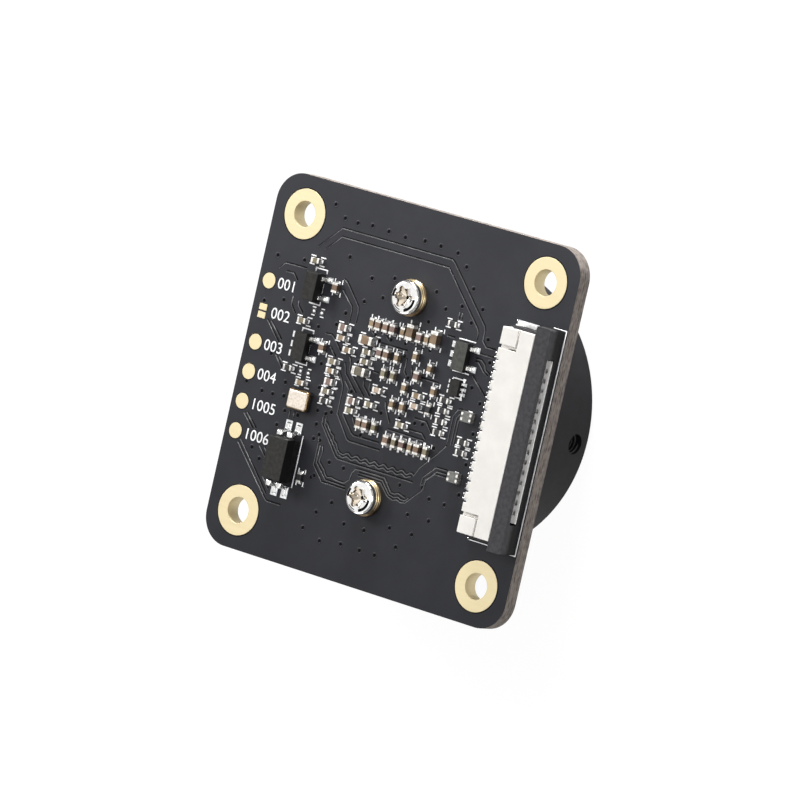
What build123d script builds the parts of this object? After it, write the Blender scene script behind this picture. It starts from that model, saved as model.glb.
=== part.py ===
from build123d import *
import os

# Board camera module: circuit board, lens mount, flat-cable connector and its small parts.
# Millimetres, +Z up. The origin is the centre of the lens mount's front rim, on the optical axis.
# The mount stands on the ground plane and the component side of the board faces up.

os.makedirs("parts", exist_ok=True)

# Circuit board
board_side = 37.7
board_thickness = 1.6
board_corner_radius = 3.0
mounting_hole_pitch = 30.0
mounting_hole_diameter = 2.6
rim_diameter = 5.0
plating_thickness = 0.05
plating_gap = 0.02

# Test pads along the left edge
test_pad_from_edge = 1.35
test_pad_diameter = 1.56
test_pad_rows = (7.7, 1.5, -1.5, -4.5, -7.5)
square_pad_length = 0.95
square_pad_width = 0.63
square_pad_rows = (5.04, 4.24)

# Lens mount with the 1 inch camera thread, drawn at its minor diameter
mount_wall = 2.1
mount_height = 12.5
mount_chamfer = 0.35
lens_thread_diameter = 24.6
thread_relief_width = 0.9
thread_relief_depth = 0.45
set_screw_diameter = 2.05
set_screw_from_rim = 2.3
set_screw_aside = -0.5
window_side = 9.0
inner_corner_radius = 1.0

# Infrared filter and its seat in the mount
filter_side = 11.0
filter_thickness = 0.55
filter_gap = 0.1
filter_seat_depth = 0.75
filter_web = 0.75

# Image sensor on the front side of the board
chamber_side = 14.6
chamber_depth = 2.7
sensor_side = 11.4
sensor_height = 1.1
sensor_wall = 1.0
sensor_floor = 0.4
die_length = 7.2
die_width = 5.8
die_thickness = 0.3
cover_glass_inset = 0.5
cover_glass_thickness = 0.4

# Six-lobe screws that hold the mount, and their washers
screw_from_centre = 10.0
screw_diameter = 2.0
screw_length = 5.0
screw_head_diameter = 3.4
screw_head_height = 1.15
screw_head_rounding = 0.4
screw_gap = 0.02
screw_hole_gap = 0.1
screw_hole_spare = 0.6
recess_diameter = 2.3
recess_lobe_diameter = 0.6
recess_depth = 0.75
washer_diameter = 3.65
washer_thickness = 0.3

# Flat-cable connector: overall sizes
contact_count = 15
contact_pitch = 1.0
connector_front_x = 16.9
connector_height = 2.5
housing_end_length = 2.0
housing_depth = 3.85
running_gap = 0.05
end_block_length = 1.9
end_block_width = 1.7
end_block_groove = 0.38
end_block_side_groove = 0.2
end_block_groove_depth = 0.4

# Flat-cable connector: cable mouth and lip
mouth_margin = 1.15
mouth_floor = 0.95
mouth_roof = 2.1
mouth_depth = 2.9
lip_gap = 0.15
lip_reach = 1.6
lip_nose_length = 0.2
lip_front_wall = 0.15
lip_nose_thickness = 0.1
lip_clear_of_board = 0.1

# Flat-cable connector: contacts
contact_width = 0.3
contact_thickness = 0.2
channel_gap = 0.06
channel_floor = 0.35
channel_roof = 1.3
rear_notch_depth = 0.3
tail_reach = 1.65
spring_height = 0.55
spring_top = 1.3
pad_thickness = 0.04
contact_pad_width = 0.7
contact_pad_spare = 0.1

# Flat-cable connector: hold-down tabs
tab_length = 2.35
tab_width = 0.6
tab_thickness = 0.2
tab_root_length = 1.4
tab_root_width = 0.7
tab_gap = 0.05
tab_pad_border = 0.1

# Flat-cable connector: slider
slider_end_reach = 0.9
lip_rail_gap = 0.05
rail_thickness = 0.25
tongue_thickness = 0.38
tongue_reach = 2.0
arm_thickness = 0.24
arm_gap = 0.03
arm_length = 3.2
arm_floor = 0.4
arm_height = 1.5
lug_length = 0.5
lug_height = 0.6
lug_floor = 0.9
lug_reach = 0.22
slider_travel = 1.3
slider_corner_radius = 0.25

# Integrated circuits: centre on the board
five_pin_a_place = (-11.47, 8.43)
five_pin_b_place = (-11.47, 2.41)
five_pin_c_place = (7.6, 5.93)
six_pin_place = (7.57, 2.83)
optocoupler_place = (-10.57, -8.73)
oscillator_place = (-10.38, -2.72)

# Integrated circuits: five-pin package
five_pin_width = 1.6
five_pin_length = 2.9
five_pin_pitch = 0.95
five_pin_span = 2.8
five_pin_lead_width = 0.4
tall_height = 1.4
low_height = 1.0
lowest_height = 0.85
lead_thickness = 0.14
body_standoff = 0.08
body_draft = 7.0

# Integrated circuits: six-pin package
six_pin_width = 1.2
six_pin_length = 1.6
six_pin_height = 0.55
six_pin_pitch = 0.5
six_pin_span = 1.6
six_pin_lead_width = 0.22

# Optocoupler
optocoupler_width = 2.6
optocoupler_length = 4.4
optocoupler_height = 2.0
optocoupler_pitch = 1.27
optocoupler_span = 7.0
optocoupler_lead_width = 0.4
optocoupler_lead_thickness = 0.2

# Oscillator can
oscillator_length = 2.56
oscillator_width = 2.0
oscillator_base_height = 0.35
oscillator_lid_height = 0.45
oscillator_corner_radius = 0.3
oscillator_lid_rounding = 0.25
castellation_radius = 0.2

# Pads of the integrated circuits
ic_pad_beyond_lead = 0.3
ic_pad_length = 0.95
ic_pad_border = 0.1
opto_pad_length = 1.2
opto_pad_border = 0.2

# Line filters with four terminals
line_filter_from_pads = 1.52
line_filter_rows = (0.46, -5.54)
line_filter_length = 1.25
line_filter_width = 1.0
line_filter_height = 0.6
terminal_length = 0.24
terminal_width = 0.26
terminal_offset = 0.25

# Chip capacitors, chip resistors and pads without a chip
small_chip_length = 1.0
small_chip_width = 0.5
small_chip_height = 0.5
fat_chip_width = 0.62
fat_chip_height = 0.56
large_chip_length = 1.6
large_chip_width = 0.8
large_chip_height = 0.8
resistor_height = 0.35
small_end_length = 0.24
large_end_length = 0.36
end_proud = 0.02
resistor_end_length = 0.2
bare_pad_length = 0.5
bare_pad_pitch = 0.96

# Derived levels and radii
board_bottom = mount_height
board_top = board_bottom + board_thickness
pad_top = board_top + pad_thickness
test_pad_x = test_pad_from_edge - board_side / 2
mounting_hole_radius = mounting_hole_diameter / 2
drilled_radius = mounting_hole_radius + plating_thickness + plating_gap
screw_hole_radius = screw_diameter / 2 + screw_hole_gap
mount_diameter = lens_thread_diameter + 2 * mount_wall
lens_thread_depth = mount_height - chamber_depth - filter_web - filter_seat_depth
cover_glass_side = sensor_side - 2 * cover_glass_inset
screw_places = [(0, screw_from_centre), (0, -screw_from_centre)]
rows = [(index - (contact_count - 1) / 2) * contact_pitch for index in range(contact_count)]
housing_rear_x = connector_front_x - housing_depth
tail_tip_x = housing_rear_x - tail_reach
mouth_width = (contact_count - 1) * contact_pitch + 2 * mouth_margin
housing_length = mouth_width + 2 * housing_end_length
beside_connector_x = tail_tip_x - contact_pad_spare - line_filter_from_pads
line_filter_places = [(beside_connector_x, row) for row in line_filter_rows]
channel_width = contact_width + 2 * channel_gap
resting = (Align.CENTER, Align.CENTER, Align.MIN)


# Circuit board with plated mounting holes
with BuildPart() as circuit_board:
    with BuildSketch(Plane.XY.offset(board_bottom)):
        RectangleRounded(board_side, board_side, board_corner_radius)
        with GridLocations(mounting_hole_pitch, mounting_hole_pitch, 2, 2):
            Circle(drilled_radius, mode=Mode.SUBTRACT)
        with Locations(*screw_places):
            Circle(screw_hole_radius, mode=Mode.SUBTRACT)
    extrude(amount=board_thickness)
circuit_board.part.label = "circuit_board"
export_step(circuit_board.part, "parts/circuit_board.step")

# Gold rims: a flange on each face and the plating through the hole
with BuildPart() as mounting_hole_rims:
    for level in (board_top, board_bottom - plating_thickness):
        with BuildSketch(Plane.XY.offset(level)):
            with GridLocations(mounting_hole_pitch, mounting_hole_pitch, 2, 2):
                Circle(rim_diameter / 2)
                Circle(mounting_hole_radius, mode=Mode.SUBTRACT)
        extrude(amount=plating_thickness)
    with BuildSketch(Plane.XY.offset(board_bottom)):
        with GridLocations(mounting_hole_pitch, mounting_hole_pitch, 2, 2):
            Circle(mounting_hole_radius + plating_thickness)
            Circle(mounting_hole_radius, mode=Mode.SUBTRACT)
    extrude(amount=board_thickness)
mounting_hole_rims.part.label = "mounting_hole_rims"
export_step(mounting_hole_rims.part, "parts/mounting_hole_rims.step")

with BuildPart() as test_pads_round:
    with BuildSketch(Plane.XY.offset(board_top)):
        with Locations(*[(test_pad_x, row) for row in test_pad_rows]):
            Circle(test_pad_diameter / 2)
    extrude(amount=plating_thickness)
test_pads_round.part.label = "test_pads_round"
export_step(test_pads_round.part, "parts/test_pads_round.step")

with BuildPart() as test_pads_square:
    with BuildSketch(Plane.XY.offset(board_top)):
        with Locations(*[(test_pad_x, row) for row in square_pad_rows]):
            Rectangle(square_pad_length, square_pad_width)
    extrude(amount=plating_thickness)
test_pads_square.part.label = "test_pads_square"
export_step(test_pads_square.part, "parts/test_pads_square.step")

# Lens mount: a turned body, then the seats for the filter, the sensor and the screws
mount_radius = mount_diameter / 2
thread_radius = lens_thread_diameter / 2
relief_radius = thread_radius + thread_relief_depth
with BuildPart() as lens_mount:
    with BuildSketch(Plane.XZ):
        with BuildLine():
            Polyline(
                (0, lens_thread_depth),
                (relief_radius, lens_thread_depth),
                (relief_radius, lens_thread_depth - thread_relief_width),
                (thread_radius, lens_thread_depth - thread_relief_width - thread_relief_depth),
                (thread_radius, mount_chamfer),
                (thread_radius + mount_chamfer, 0),
                (mount_radius - mount_chamfer, 0),
                (mount_radius, mount_chamfer),
                (mount_radius, mount_height),
                (0, mount_height),
                close=True,
            )
        make_face()
    revolve(axis=Axis.Z)
    with BuildSketch(Plane.XY.offset(lens_thread_depth)):
        RectangleRounded(filter_side + 2 * filter_gap, filter_side + 2 * filter_gap, inner_corner_radius)
    extrude(amount=filter_seat_depth, mode=Mode.SUBTRACT)
    with BuildSketch(Plane.XY.offset(lens_thread_depth)):
        RectangleRounded(window_side, window_side, inner_corner_radius)
    extrude(amount=mount_height - lens_thread_depth, mode=Mode.SUBTRACT)
    with BuildSketch(Plane.XY.offset(mount_height - chamber_depth)):
        RectangleRounded(chamber_side, chamber_side, inner_corner_radius)
    extrude(amount=chamber_depth, mode=Mode.SUBTRACT)
    with BuildSketch(Plane.XY.offset(mount_height)):
        with Locations(*screw_places):
            Circle(screw_diameter / 2 + screw_gap)
    extrude(
        amount=washer_thickness + board_thickness - screw_length - screw_hole_spare,
        mode=Mode.SUBTRACT,
    )
    with BuildSketch(Plane.YZ):
        with Locations((set_screw_aside, set_screw_from_rim)):
            Circle(set_screw_diameter / 2)
    extrude(amount=mount_diameter, mode=Mode.SUBTRACT)
lens_mount.part.label = "lens_mount"
export_step(lens_mount.part, "parts/lens_mount.step")

# Filter glass on the ledge of its seat
filter_ledge = lens_thread_depth + filter_seat_depth
with BuildPart() as filter_glass:
    with BuildSketch(Plane.XY.offset(filter_ledge - filter_thickness)):
        RectangleRounded(filter_side, filter_side, inner_corner_radius)
    extrude(amount=filter_thickness)
filter_glass.part.label = "filter_glass"
export_step(filter_glass.part, "parts/filter_glass.step")

# Image sensor: ceramic tray, die on the tray's floor, glass over the rim
sensor_front = board_bottom - sensor_height
with BuildPart() as sensor_package:
    with BuildSketch(Plane.XY.offset(sensor_front)):
        Rectangle(sensor_side, sensor_side)
    extrude(amount=sensor_height)
    with BuildSketch(Plane.XY.offset(sensor_front)):
        Rectangle(sensor_side - 2 * sensor_wall, sensor_side - 2 * sensor_wall)
    extrude(amount=sensor_height - sensor_floor, mode=Mode.SUBTRACT)
sensor_package.part.label = "sensor_package"
export_step(sensor_package.part, "parts/sensor_package.step")

with BuildPart() as sensor_die:
    with BuildSketch(Plane.XY.offset(board_bottom - sensor_floor - die_thickness)):
        Rectangle(die_length, die_width)
    extrude(amount=die_thickness)
sensor_die.part.label = "sensor_die"
export_step(sensor_die.part, "parts/sensor_die.step")

with BuildPart() as sensor_cover_glass:
    with BuildSketch(Plane.XY.offset(sensor_front - cover_glass_thickness)):
        Rectangle(cover_glass_side, cover_glass_side)
    extrude(amount=cover_glass_thickness)
sensor_cover_glass.part.label = "sensor_cover_glass"
export_step(sensor_cover_glass.part, "parts/sensor_cover_glass.step")

# Washers and six-lobe pan-head screws
with BuildPart() as screw_washers:
    with BuildSketch(Plane.XY.offset(board_top)):
        with Locations(*screw_places):
            Circle(washer_diameter / 2)
            Circle(screw_hole_radius, mode=Mode.SUBTRACT)
    extrude(amount=washer_thickness)
screw_washers.part.label = "screw_washers"
export_step(screw_washers.part, "parts/screw_washers.step")

head_bottom = board_top + washer_thickness
head_top = head_bottom + screw_head_height
with BuildPart() as mount_screws:
    with BuildSketch(Plane.XY.offset(head_bottom)):
        with Locations(*screw_places):
            Circle(screw_head_diameter / 2)
    extrude(amount=screw_head_height)
    fillet(mount_screws.edges().group_by(Axis.Z)[-1], radius=screw_head_rounding)
    with BuildSketch(Plane.XY.offset(head_bottom)):
        with Locations(*screw_places):
            Circle(screw_diameter / 2)
    extrude(amount=-screw_length)
    with BuildSketch(Plane.XY.offset(head_top)):
        with Locations(*screw_places):
            Circle(recess_diameter / 2 - recess_lobe_diameter / 2)
            with PolarLocations(recess_diameter / 2 - recess_lobe_diameter / 2, 6):
                Circle(recess_lobe_diameter / 2)
    extrude(amount=-recess_depth, mode=Mode.SUBTRACT)
mount_screws.part.label = "mount_screws"
export_step(mount_screws.part, "parts/mount_screws.step")


def block(x_low, x_high, y_low, y_high, z_low, z_high, mode=Mode.ADD):
    """A block of the connector between two X, two Y and two heights over the board."""
    middle = ((x_low + x_high) / 2, (y_low + y_high) / 2, board_top + z_low)
    with Locations(middle):
        Box(x_high - x_low, y_high - y_low, z_high - z_low, align=resting, mode=mode)


def pair_of_blocks(x_low, x_high, y_near, y_far, z_low, z_high, mode=Mode.ADD):
    """The same block at both ends of the connector."""
    block(x_low, x_high, y_near, y_far, z_low, z_high, mode)
    block(x_low, x_high, -y_far, -y_near, z_low, z_high, mode)


# Connector housing: body, cable mouth, lip, contact comb and channels, corner blocks
housing_half = housing_length / 2
mouth_half = mouth_width / 2
lip_half = mouth_half - lip_gap
lip_front_x = connector_front_x + lip_reach
lip_body_x = lip_front_x - lip_nose_length
mouth_rear_x = connector_front_x - mouth_depth
block_front_x = housing_rear_x + end_block_length
block_inner_y = housing_half - end_block_width
groove_floor = connector_height - end_block_groove_depth
tab_root_rear_x = housing_rear_x + (end_block_length - tab_root_length) / 2
lug_rear_x = connector_front_x + running_gap - arm_length
slot_rear_x = lug_rear_x - running_gap
slot_front_x = lug_rear_x + lug_length + slider_travel + running_gap
with BuildPart() as ffc_housing:
    block(housing_rear_x, connector_front_x, -housing_half, housing_half, 0, connector_height)
    block(connector_front_x, lip_body_x, -lip_half, lip_half, lip_clear_of_board, mouth_floor)
    block(lip_body_x, lip_front_x, -lip_half, lip_half, mouth_floor - lip_nose_thickness, mouth_floor)
    block(mouth_rear_x, connector_front_x, -mouth_half, mouth_half, mouth_floor, mouth_roof, Mode.SUBTRACT)
    for row in rows:
        low = row - channel_width / 2
        high = row + channel_width / 2
        notch_x = housing_rear_x + rear_notch_depth
        block(housing_rear_x, notch_x, low, high, 0, connector_height, Mode.SUBTRACT)
        block(notch_x, mouth_rear_x, low, high, 0, channel_roof, Mode.SUBTRACT)
        block(mouth_rear_x, lip_body_x - lip_front_wall, low, high, channel_floor, mouth_floor, Mode.SUBTRACT)
    pair_of_blocks(
        block_front_x, block_front_x + end_block_side_groove, block_inner_y - end_block_groove,
        housing_half, groove_floor, connector_height, Mode.SUBTRACT,
    )
    pair_of_blocks(
        housing_rear_x, block_front_x, block_inner_y - end_block_groove,
        block_inner_y, groove_floor, connector_height, Mode.SUBTRACT,
    )
    pair_of_blocks(
        tab_root_rear_x - tab_gap, tab_root_rear_x + tab_root_length + tab_gap,
        housing_half - tab_root_width - tab_gap, housing_half,
        0, pad_thickness + tab_thickness + tab_gap, Mode.SUBTRACT,
    )
    pair_of_blocks(
        slot_rear_x, slot_front_x, housing_half - lug_reach - running_gap, housing_half,
        lug_floor - running_gap, lug_floor + lug_height + running_gap, Mode.SUBTRACT,
    )
ffc_housing.part.label = "ffc_housing"
export_step(ffc_housing.part, "parts/ffc_housing.step")

# Connector contacts: solder tail, riser and spring arm, stamped from one strip
riser_x = housing_rear_x + rear_notch_depth
bend_x = connector_front_x - mouth_depth / 2
crown_x = connector_front_x - mouth_depth / 6
crown_under = spring_top - contact_thickness
spring_upper = spring_height + contact_thickness
with BuildPart() as ffc_contacts:
    with BuildSketch(*[Plane((0, row, board_top), x_dir=(1, 0, 0), z_dir=(0, -1, 0)) for row in rows]):
        with BuildLine():
            Polyline(
                (tail_tip_x, pad_thickness),
                (riser_x, pad_thickness),
                (riser_x, spring_height),
                (bend_x, spring_height),
                (crown_x, crown_under),
                (connector_front_x - contact_thickness, spring_height),
                (connector_front_x - contact_thickness, spring_upper),
                (crown_x, spring_top),
                (bend_x - contact_thickness, spring_upper),
                (riser_x - contact_thickness, spring_upper),
                (riser_x - contact_thickness, pad_thickness + contact_thickness),
                (tail_tip_x, pad_thickness + contact_thickness),
                close=True,
            )
        make_face()
    extrude(amount=contact_width / 2, both=True)
ffc_contacts.part.label = "ffc_contacts"
export_step(ffc_contacts.part, "parts/ffc_contacts.step")

# Hold-down tabs: a soldered foot beside the housing, with a root that reaches under it
tab_rear_x = housing_rear_x - tab_gap
tab_near_y = housing_half + tab_gap
tab_top = pad_thickness + tab_thickness
with BuildPart() as ffc_hold_downs:
    pair_of_blocks(
        tab_rear_x, tab_rear_x + tab_length, tab_near_y, tab_near_y + tab_width, pad_thickness, tab_top,
    )
    pair_of_blocks(
        tab_root_rear_x, tab_root_rear_x + tab_root_length,
        housing_half - tab_root_width, tab_near_y, pad_thickness, tab_top,
    )
ffc_hold_downs.part.label = "ffc_hold_downs"
export_step(ffc_hold_downs.part, "parts/ffc_hold_downs.step")

with BuildPart() as ffc_solder_pads:
    for row in rows:
        low = row - contact_pad_width / 2
        high = row + contact_pad_width / 2
        block(tail_tip_x - contact_pad_spare, housing_rear_x - running_gap, low, high, 0, pad_thickness)
    pair_of_blocks(
        tab_rear_x - tab_pad_border, tab_rear_x + tab_length + tab_pad_border,
        tab_near_y, tab_near_y + tab_width + tab_pad_border, 0, pad_thickness,
    )
ffc_solder_pads.part.label = "ffc_solder_pads"
export_step(ffc_solder_pads.part, "parts/ffc_solder_pads.step")

# Slider: frame with a cable slot, a tongue into the mouth, and side arms with lugs
slider_rear_x = connector_front_x + running_gap
slider_front_x = lip_body_x + lip_rail_gap + rail_thickness
slider_half = housing_half + slider_end_reach
tongue_top = mouth_roof - 2 * running_gap
slot_roof = tongue_top
slot_floor = mouth_floor - lip_nose_thickness - running_gap
tongue_half = mouth_half - lip_gap
arm_near_y = housing_half + arm_gap
with BuildPart() as ffc_slider:
    block(slider_rear_x, slider_front_x, -slider_half, slider_half, lip_clear_of_board, connector_height)
    fillet(ffc_slider.edges().filter_by(Axis.Z).group_by(Axis.X)[-1], radius=slider_corner_radius)
    block(slider_rear_x, slider_front_x, -mouth_half, mouth_half, slot_floor, slot_roof, Mode.SUBTRACT)
    block(
        slider_rear_x, slider_front_x - rail_thickness, -mouth_half, mouth_half,
        lip_clear_of_board, slot_floor, Mode.SUBTRACT,
    )
    block(
        slider_rear_x - tongue_reach, slider_rear_x + tongue_thickness, -tongue_half, tongue_half,
        tongue_top - tongue_thickness, tongue_top,
    )
    pair_of_blocks(
        lug_rear_x, slider_rear_x, arm_near_y, arm_near_y + arm_thickness, arm_floor, arm_floor + arm_height,
    )
    pair_of_blocks(
        lug_rear_x, lug_rear_x + lug_length, housing_half - lug_reach, arm_near_y,
        lug_floor, lug_floor + lug_height,
    )
ffc_slider.part.label = "ffc_slider"
export_step(ffc_slider.part, "parts/ffc_slider.step")


def moulded_body(name, place, width, length, height):
    """A moulded package with a parting line at half height and drafted walls above and below it."""
    half = (height - body_standoff) / 2
    with BuildPart() as body:
        with BuildSketch(Plane((place[0], place[1], pad_top + body_standoff + half))):
            Rectangle(width, length)
        extrude(amount=half, both=True, taper=body_draft)
    body.part.label = name
    export_step(body.part, f"parts/{name}.step")


def bent_leads(name, place, outward, offsets, body_half, span, height, width, thickness):
    """Leads that leave the package at its parting line, bend down and end in a flat foot."""
    exit_level = body_standoff + (height - body_standoff) / 2 - thickness / 2
    shoulder = body_half + thickness
    tip = span / 2
    heel = (shoulder + tip) / 2
    slant = thickness * 0.6
    up = Vector(0, 0, 1)
    with BuildPart() as leads:
        for side, offset in offsets:
            reach = Vector(*outward) * side
            across = up.cross(Vector(*outward))
            origin = Vector(place[0], place[1], pad_top) + across * offset
            with BuildSketch(Plane(origin, x_dir=reach, z_dir=reach.cross(up))):
                with BuildLine():
                    Polyline(
                        (body_half, exit_level),
                        (shoulder - slant, exit_level),
                        (heel - slant, 0),
                        (tip, 0),
                        (tip, thickness),
                        (heel, thickness),
                        (shoulder, exit_level + thickness),
                        (body_half, exit_level + thickness),
                        close=True,
                    )
                make_face()
            extrude(amount=width / 2, both=True)
    leads.part.label = name
    export_step(leads.part, f"parts/{name}.step")


# Five-pin packages: three leads on the left, two on the right
five_pin_leads = [(-1, -five_pin_pitch), (-1, 0), (-1, five_pin_pitch), (1, -five_pin_pitch), (1, five_pin_pitch)]
five_pin_circuits = (
    ("five_pin_ic_a", five_pin_a_place, tall_height),
    ("five_pin_ic_b", five_pin_b_place, low_height),
    ("five_pin_ic_c", five_pin_c_place, lowest_height),
)
for name, place, height in five_pin_circuits:
    moulded_body(f"{name}_body", place, five_pin_width, five_pin_length, height)
    bent_leads(
        f"{name}_leads", place, (1, 0, 0), five_pin_leads, five_pin_width / 2,
        five_pin_span, height, five_pin_lead_width, lead_thickness,
    )

# Six-pin package: three leads on each side
six_pin_leads = [(side, step * six_pin_pitch) for side in (-1, 1) for step in (-1, 0, 1)]
moulded_body("six_pin_ic_body", six_pin_place, six_pin_width, six_pin_length, six_pin_height)
bent_leads(
    "six_pin_ic_leads", six_pin_place, (1, 0, 0), six_pin_leads, six_pin_width / 2,
    six_pin_span, lead_thickness * 2, six_pin_lead_width, lead_thickness / 2,
)

# Optocoupler: two leads at each end of a tall body
optocoupler_leads = [(side, step * optocoupler_pitch / 2) for side in (-1, 1) for step in (-1, 1)]
moulded_body(
    "optocoupler_body", optocoupler_place, optocoupler_width, optocoupler_length, optocoupler_height,
)
bent_leads(
    "optocoupler_leads", optocoupler_place, (0, 1, 0), optocoupler_leads, optocoupler_length / 2,
    optocoupler_span, optocoupler_height, optocoupler_lead_width, optocoupler_lead_thickness,
)

# Solder pads under the leads
pad_centre = five_pin_span / 2 + ic_pad_beyond_lead - ic_pad_length / 2
six_pad_length = ic_pad_length / 2
six_pad_centre = six_pin_span / 2 + ic_pad_beyond_lead - six_pad_length / 2
opto_pad_centre = optocoupler_span / 2 + ic_pad_beyond_lead - opto_pad_length / 2
with BuildPart() as ic_solder_pads:
    with BuildSketch(Plane.XY.offset(board_top)):
        for name, place, height in five_pin_circuits:
            with Locations(*[(place[0] + side * pad_centre, place[1] + step) for side, step in five_pin_leads]):
                Rectangle(ic_pad_length, five_pin_lead_width + 2 * ic_pad_border)
        x, y = six_pin_place
        with Locations(*[(x + side * six_pad_centre, y + step) for side, step in six_pin_leads]):
            Rectangle(six_pad_length, six_pin_lead_width + ic_pad_border)
        x, y = optocoupler_place
        with Locations(*[(x + step, y + side * opto_pad_centre) for side, step in optocoupler_leads]):
            Rectangle(optocoupler_lead_width + 2 * opto_pad_border, opto_pad_length)
    extrude(amount=pad_thickness)
ic_solder_pads.part.label = "ic_solder_pads"
export_step(ic_solder_pads.part, "parts/ic_solder_pads.step")

# Oscillator: ceramic base with notched corners, pressed metal lid
with BuildPart() as oscillator_base:
    with BuildSketch(Plane((oscillator_place[0], oscillator_place[1], board_top))):
        Rectangle(oscillator_length, oscillator_width)
        with GridLocations(oscillator_length, oscillator_width, 2, 2):
            Circle(castellation_radius, mode=Mode.SUBTRACT)
    extrude(amount=oscillator_base_height)
oscillator_base.part.label = "oscillator_base"
export_step(oscillator_base.part, "parts/oscillator_base.step")

with BuildPart() as oscillator_lid:
    with BuildSketch(Plane((oscillator_place[0], oscillator_place[1], board_top + oscillator_base_height))):
        RectangleRounded(oscillator_length, oscillator_width, oscillator_corner_radius)
    extrude(amount=oscillator_lid_height)
    fillet(oscillator_lid.edges().group_by(Axis.Z)[-1], radius=oscillator_lid_rounding)
oscillator_lid.part.label = "oscillator_lid"
export_step(oscillator_lid.part, "parts/oscillator_lid.step")

# Line filters: a core with notched corners and a terminal in each notch
terminal_x = (line_filter_length - terminal_length) / 2
terminal_spots = [(side * terminal_x, step * terminal_offset) for side in (-1, 1) for step in (-1, 1)]
with BuildPart() as line_filter_cores:
    with BuildSketch(Plane.XY.offset(board_top)):
        with Locations(*line_filter_places):
            Rectangle(line_filter_length, line_filter_width)
            with Locations(*terminal_spots):
                Rectangle(terminal_length, terminal_width, mode=Mode.SUBTRACT)
    extrude(amount=line_filter_height)
line_filter_cores.part.label = "line_filter_cores"
export_step(line_filter_cores.part, "parts/line_filter_cores.step")

with BuildPart() as line_filter_terminals:
    with BuildSketch(Plane.XY.offset(board_top)):
        with Locations(*line_filter_places):
            with Locations(*terminal_spots):
                Rectangle(terminal_length, terminal_width)
    extrude(amount=line_filter_height)
line_filter_terminals.part.label = "line_filter_terminals"
export_step(line_filter_terminals.part, "parts/line_filter_terminals.step")


def chips(name, ends_name, upright, lying, length, width, height, end_length):
    """Chips of one kind: ceramic blocks with a slightly proud metal end at each side."""
    spots = [Location((x, y, board_top), (0, 0, 90)) for x, y in upright]
    spots += [Location((x, y, board_top)) for x, y in lying]
    end_x = (length - end_length) / 2
    with BuildPart() as bodies:
        with Locations(*spots):
            with Locations((0, 0, end_proud)):
                Box(length - 2 * end_length, width, height, align=resting)
    bodies.part.label = name
    export_step(bodies.part, f"parts/{name}.step")
    with BuildPart() as ends:
        with Locations(*spots):
            with Locations((end_x, 0, 0), (-end_x, 0, 0)):
                Box(end_length, width + 2 * end_proud, height + 2 * end_proud, align=resting)
    ends.part.label = ends_name
    export_step(ends.part, f"parts/{ends_name}.step")


# Chip capacitors, one kind for each ceramic, and the chip resistors
tan_upright = [
    (-3.82, 6.56), (0.04, 6.56), (3.04, 6.53), (0.0, 3.99), (2.15, 4.63), (1.65, 1.38),
    (4.15, 3.88), (5.15, 1.85), (0.65, -0.48), (1.9, -0.48), (3.9, -4.0),
]
tan_lying = [(-7.03, 4.35), (-6.03, 3.35), (-7.47, 0.93), (3.36, 1.02), (-10.76, -1.04)]
brown_upright = [
    (-3.0, 6.56), (-2.07, 6.56), (-1.3, 3.99), (0.93, -4.0), (4.75, -4.0),
    (-2.71, -3.19), (-1.93, -3.19), (-9.1, 8.9), (-9.1, 2.88),
]
maroon_upright = [(-1.19, 6.56), (2.11, 6.53), (-2.14, 3.99), (2.82, 2.81), (2.9, -4.0)]
maroon_lying = [(-7.05, 5.36), (-7.3, -0.14), (-4.14, -1.3)]
olive_upright = [(-1.15, 2.17), (0.0, 2.17), (1.9, -4.0), (5.79, -4.0), (-0.85, -3.19)]
olive_lying = [
    (-3.64, 3.72), (-3.66, 2.74), (-7.47, 1.86), (-7.47, -1.14), (2.18, -2.19),
    (-2.0, -1.15), (-4.14, -2.26), (-12.21, 4.88), (-12.18, 10.92),
]
peach_lying = [(3.36, -0.01), (-1.43, 0.42)]
large_upright = [(1.09, 6.8), (4.08, 6.8)]
large_lying = [(-3.88, 4.83), (-3.88, 1.7)]
resistor_upright = [(4.94, 0.04), (-8.38, -10.03)]
resistor_lying = [
    (5.58, 8.71), (6.63, 1.36), (6.63, 0.35), (6.63, -0.74), (6.63, -1.82),
    (beside_connector_x, -2.05), (beside_connector_x, -3.05), (-12.74, 0.01), (-7.5, -2.08),
]
bare_pad_places = [(-10.78, 6.08), (-10.78, 0.02)]

small = (small_chip_length, small_chip_width, small_chip_height, small_end_length)
fat = (small_chip_length, fat_chip_width, fat_chip_height, small_end_length)
large = (large_chip_length, large_chip_width, large_chip_height, large_end_length)
flat = (small_chip_length, small_chip_width, resistor_height, resistor_end_length)
chips("capacitors_tan", "capacitors_tan_ends", tan_upright, tan_lying, *small)
chips("capacitors_brown", "capacitors_brown_ends", brown_upright, [], *fat)
chips("capacitors_maroon", "capacitors_maroon_ends", maroon_upright, maroon_lying, *fat)
chips("capacitors_olive", "capacitors_olive_ends", olive_upright, olive_lying, *small)
chips("capacitors_peach", "capacitors_peach_ends", [], peach_lying, *small)
chips("capacitors_large", "capacitors_large_ends", large_upright, large_lying, *large)
chips("resistor_body", "resistor_ends", resistor_upright, resistor_lying, *flat)

# Pads of two small chips that aren't fitted
with BuildPart() as bare_chip_pads:
    with BuildSketch(Plane.XY.offset(board_top)):
        with Locations(*bare_pad_places):
            with GridLocations(bare_pad_pitch, 1, 2, 1):
                Rectangle(bare_pad_length, small_chip_width)
    extrude(amount=pad_thickness)
bare_chip_pads.part.label = "bare_chip_pads"
export_step(bare_chip_pads.part, "parts/bare_chip_pads.step")
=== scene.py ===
import math

import bpy
from mathutils import Matrix, Vector


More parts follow.
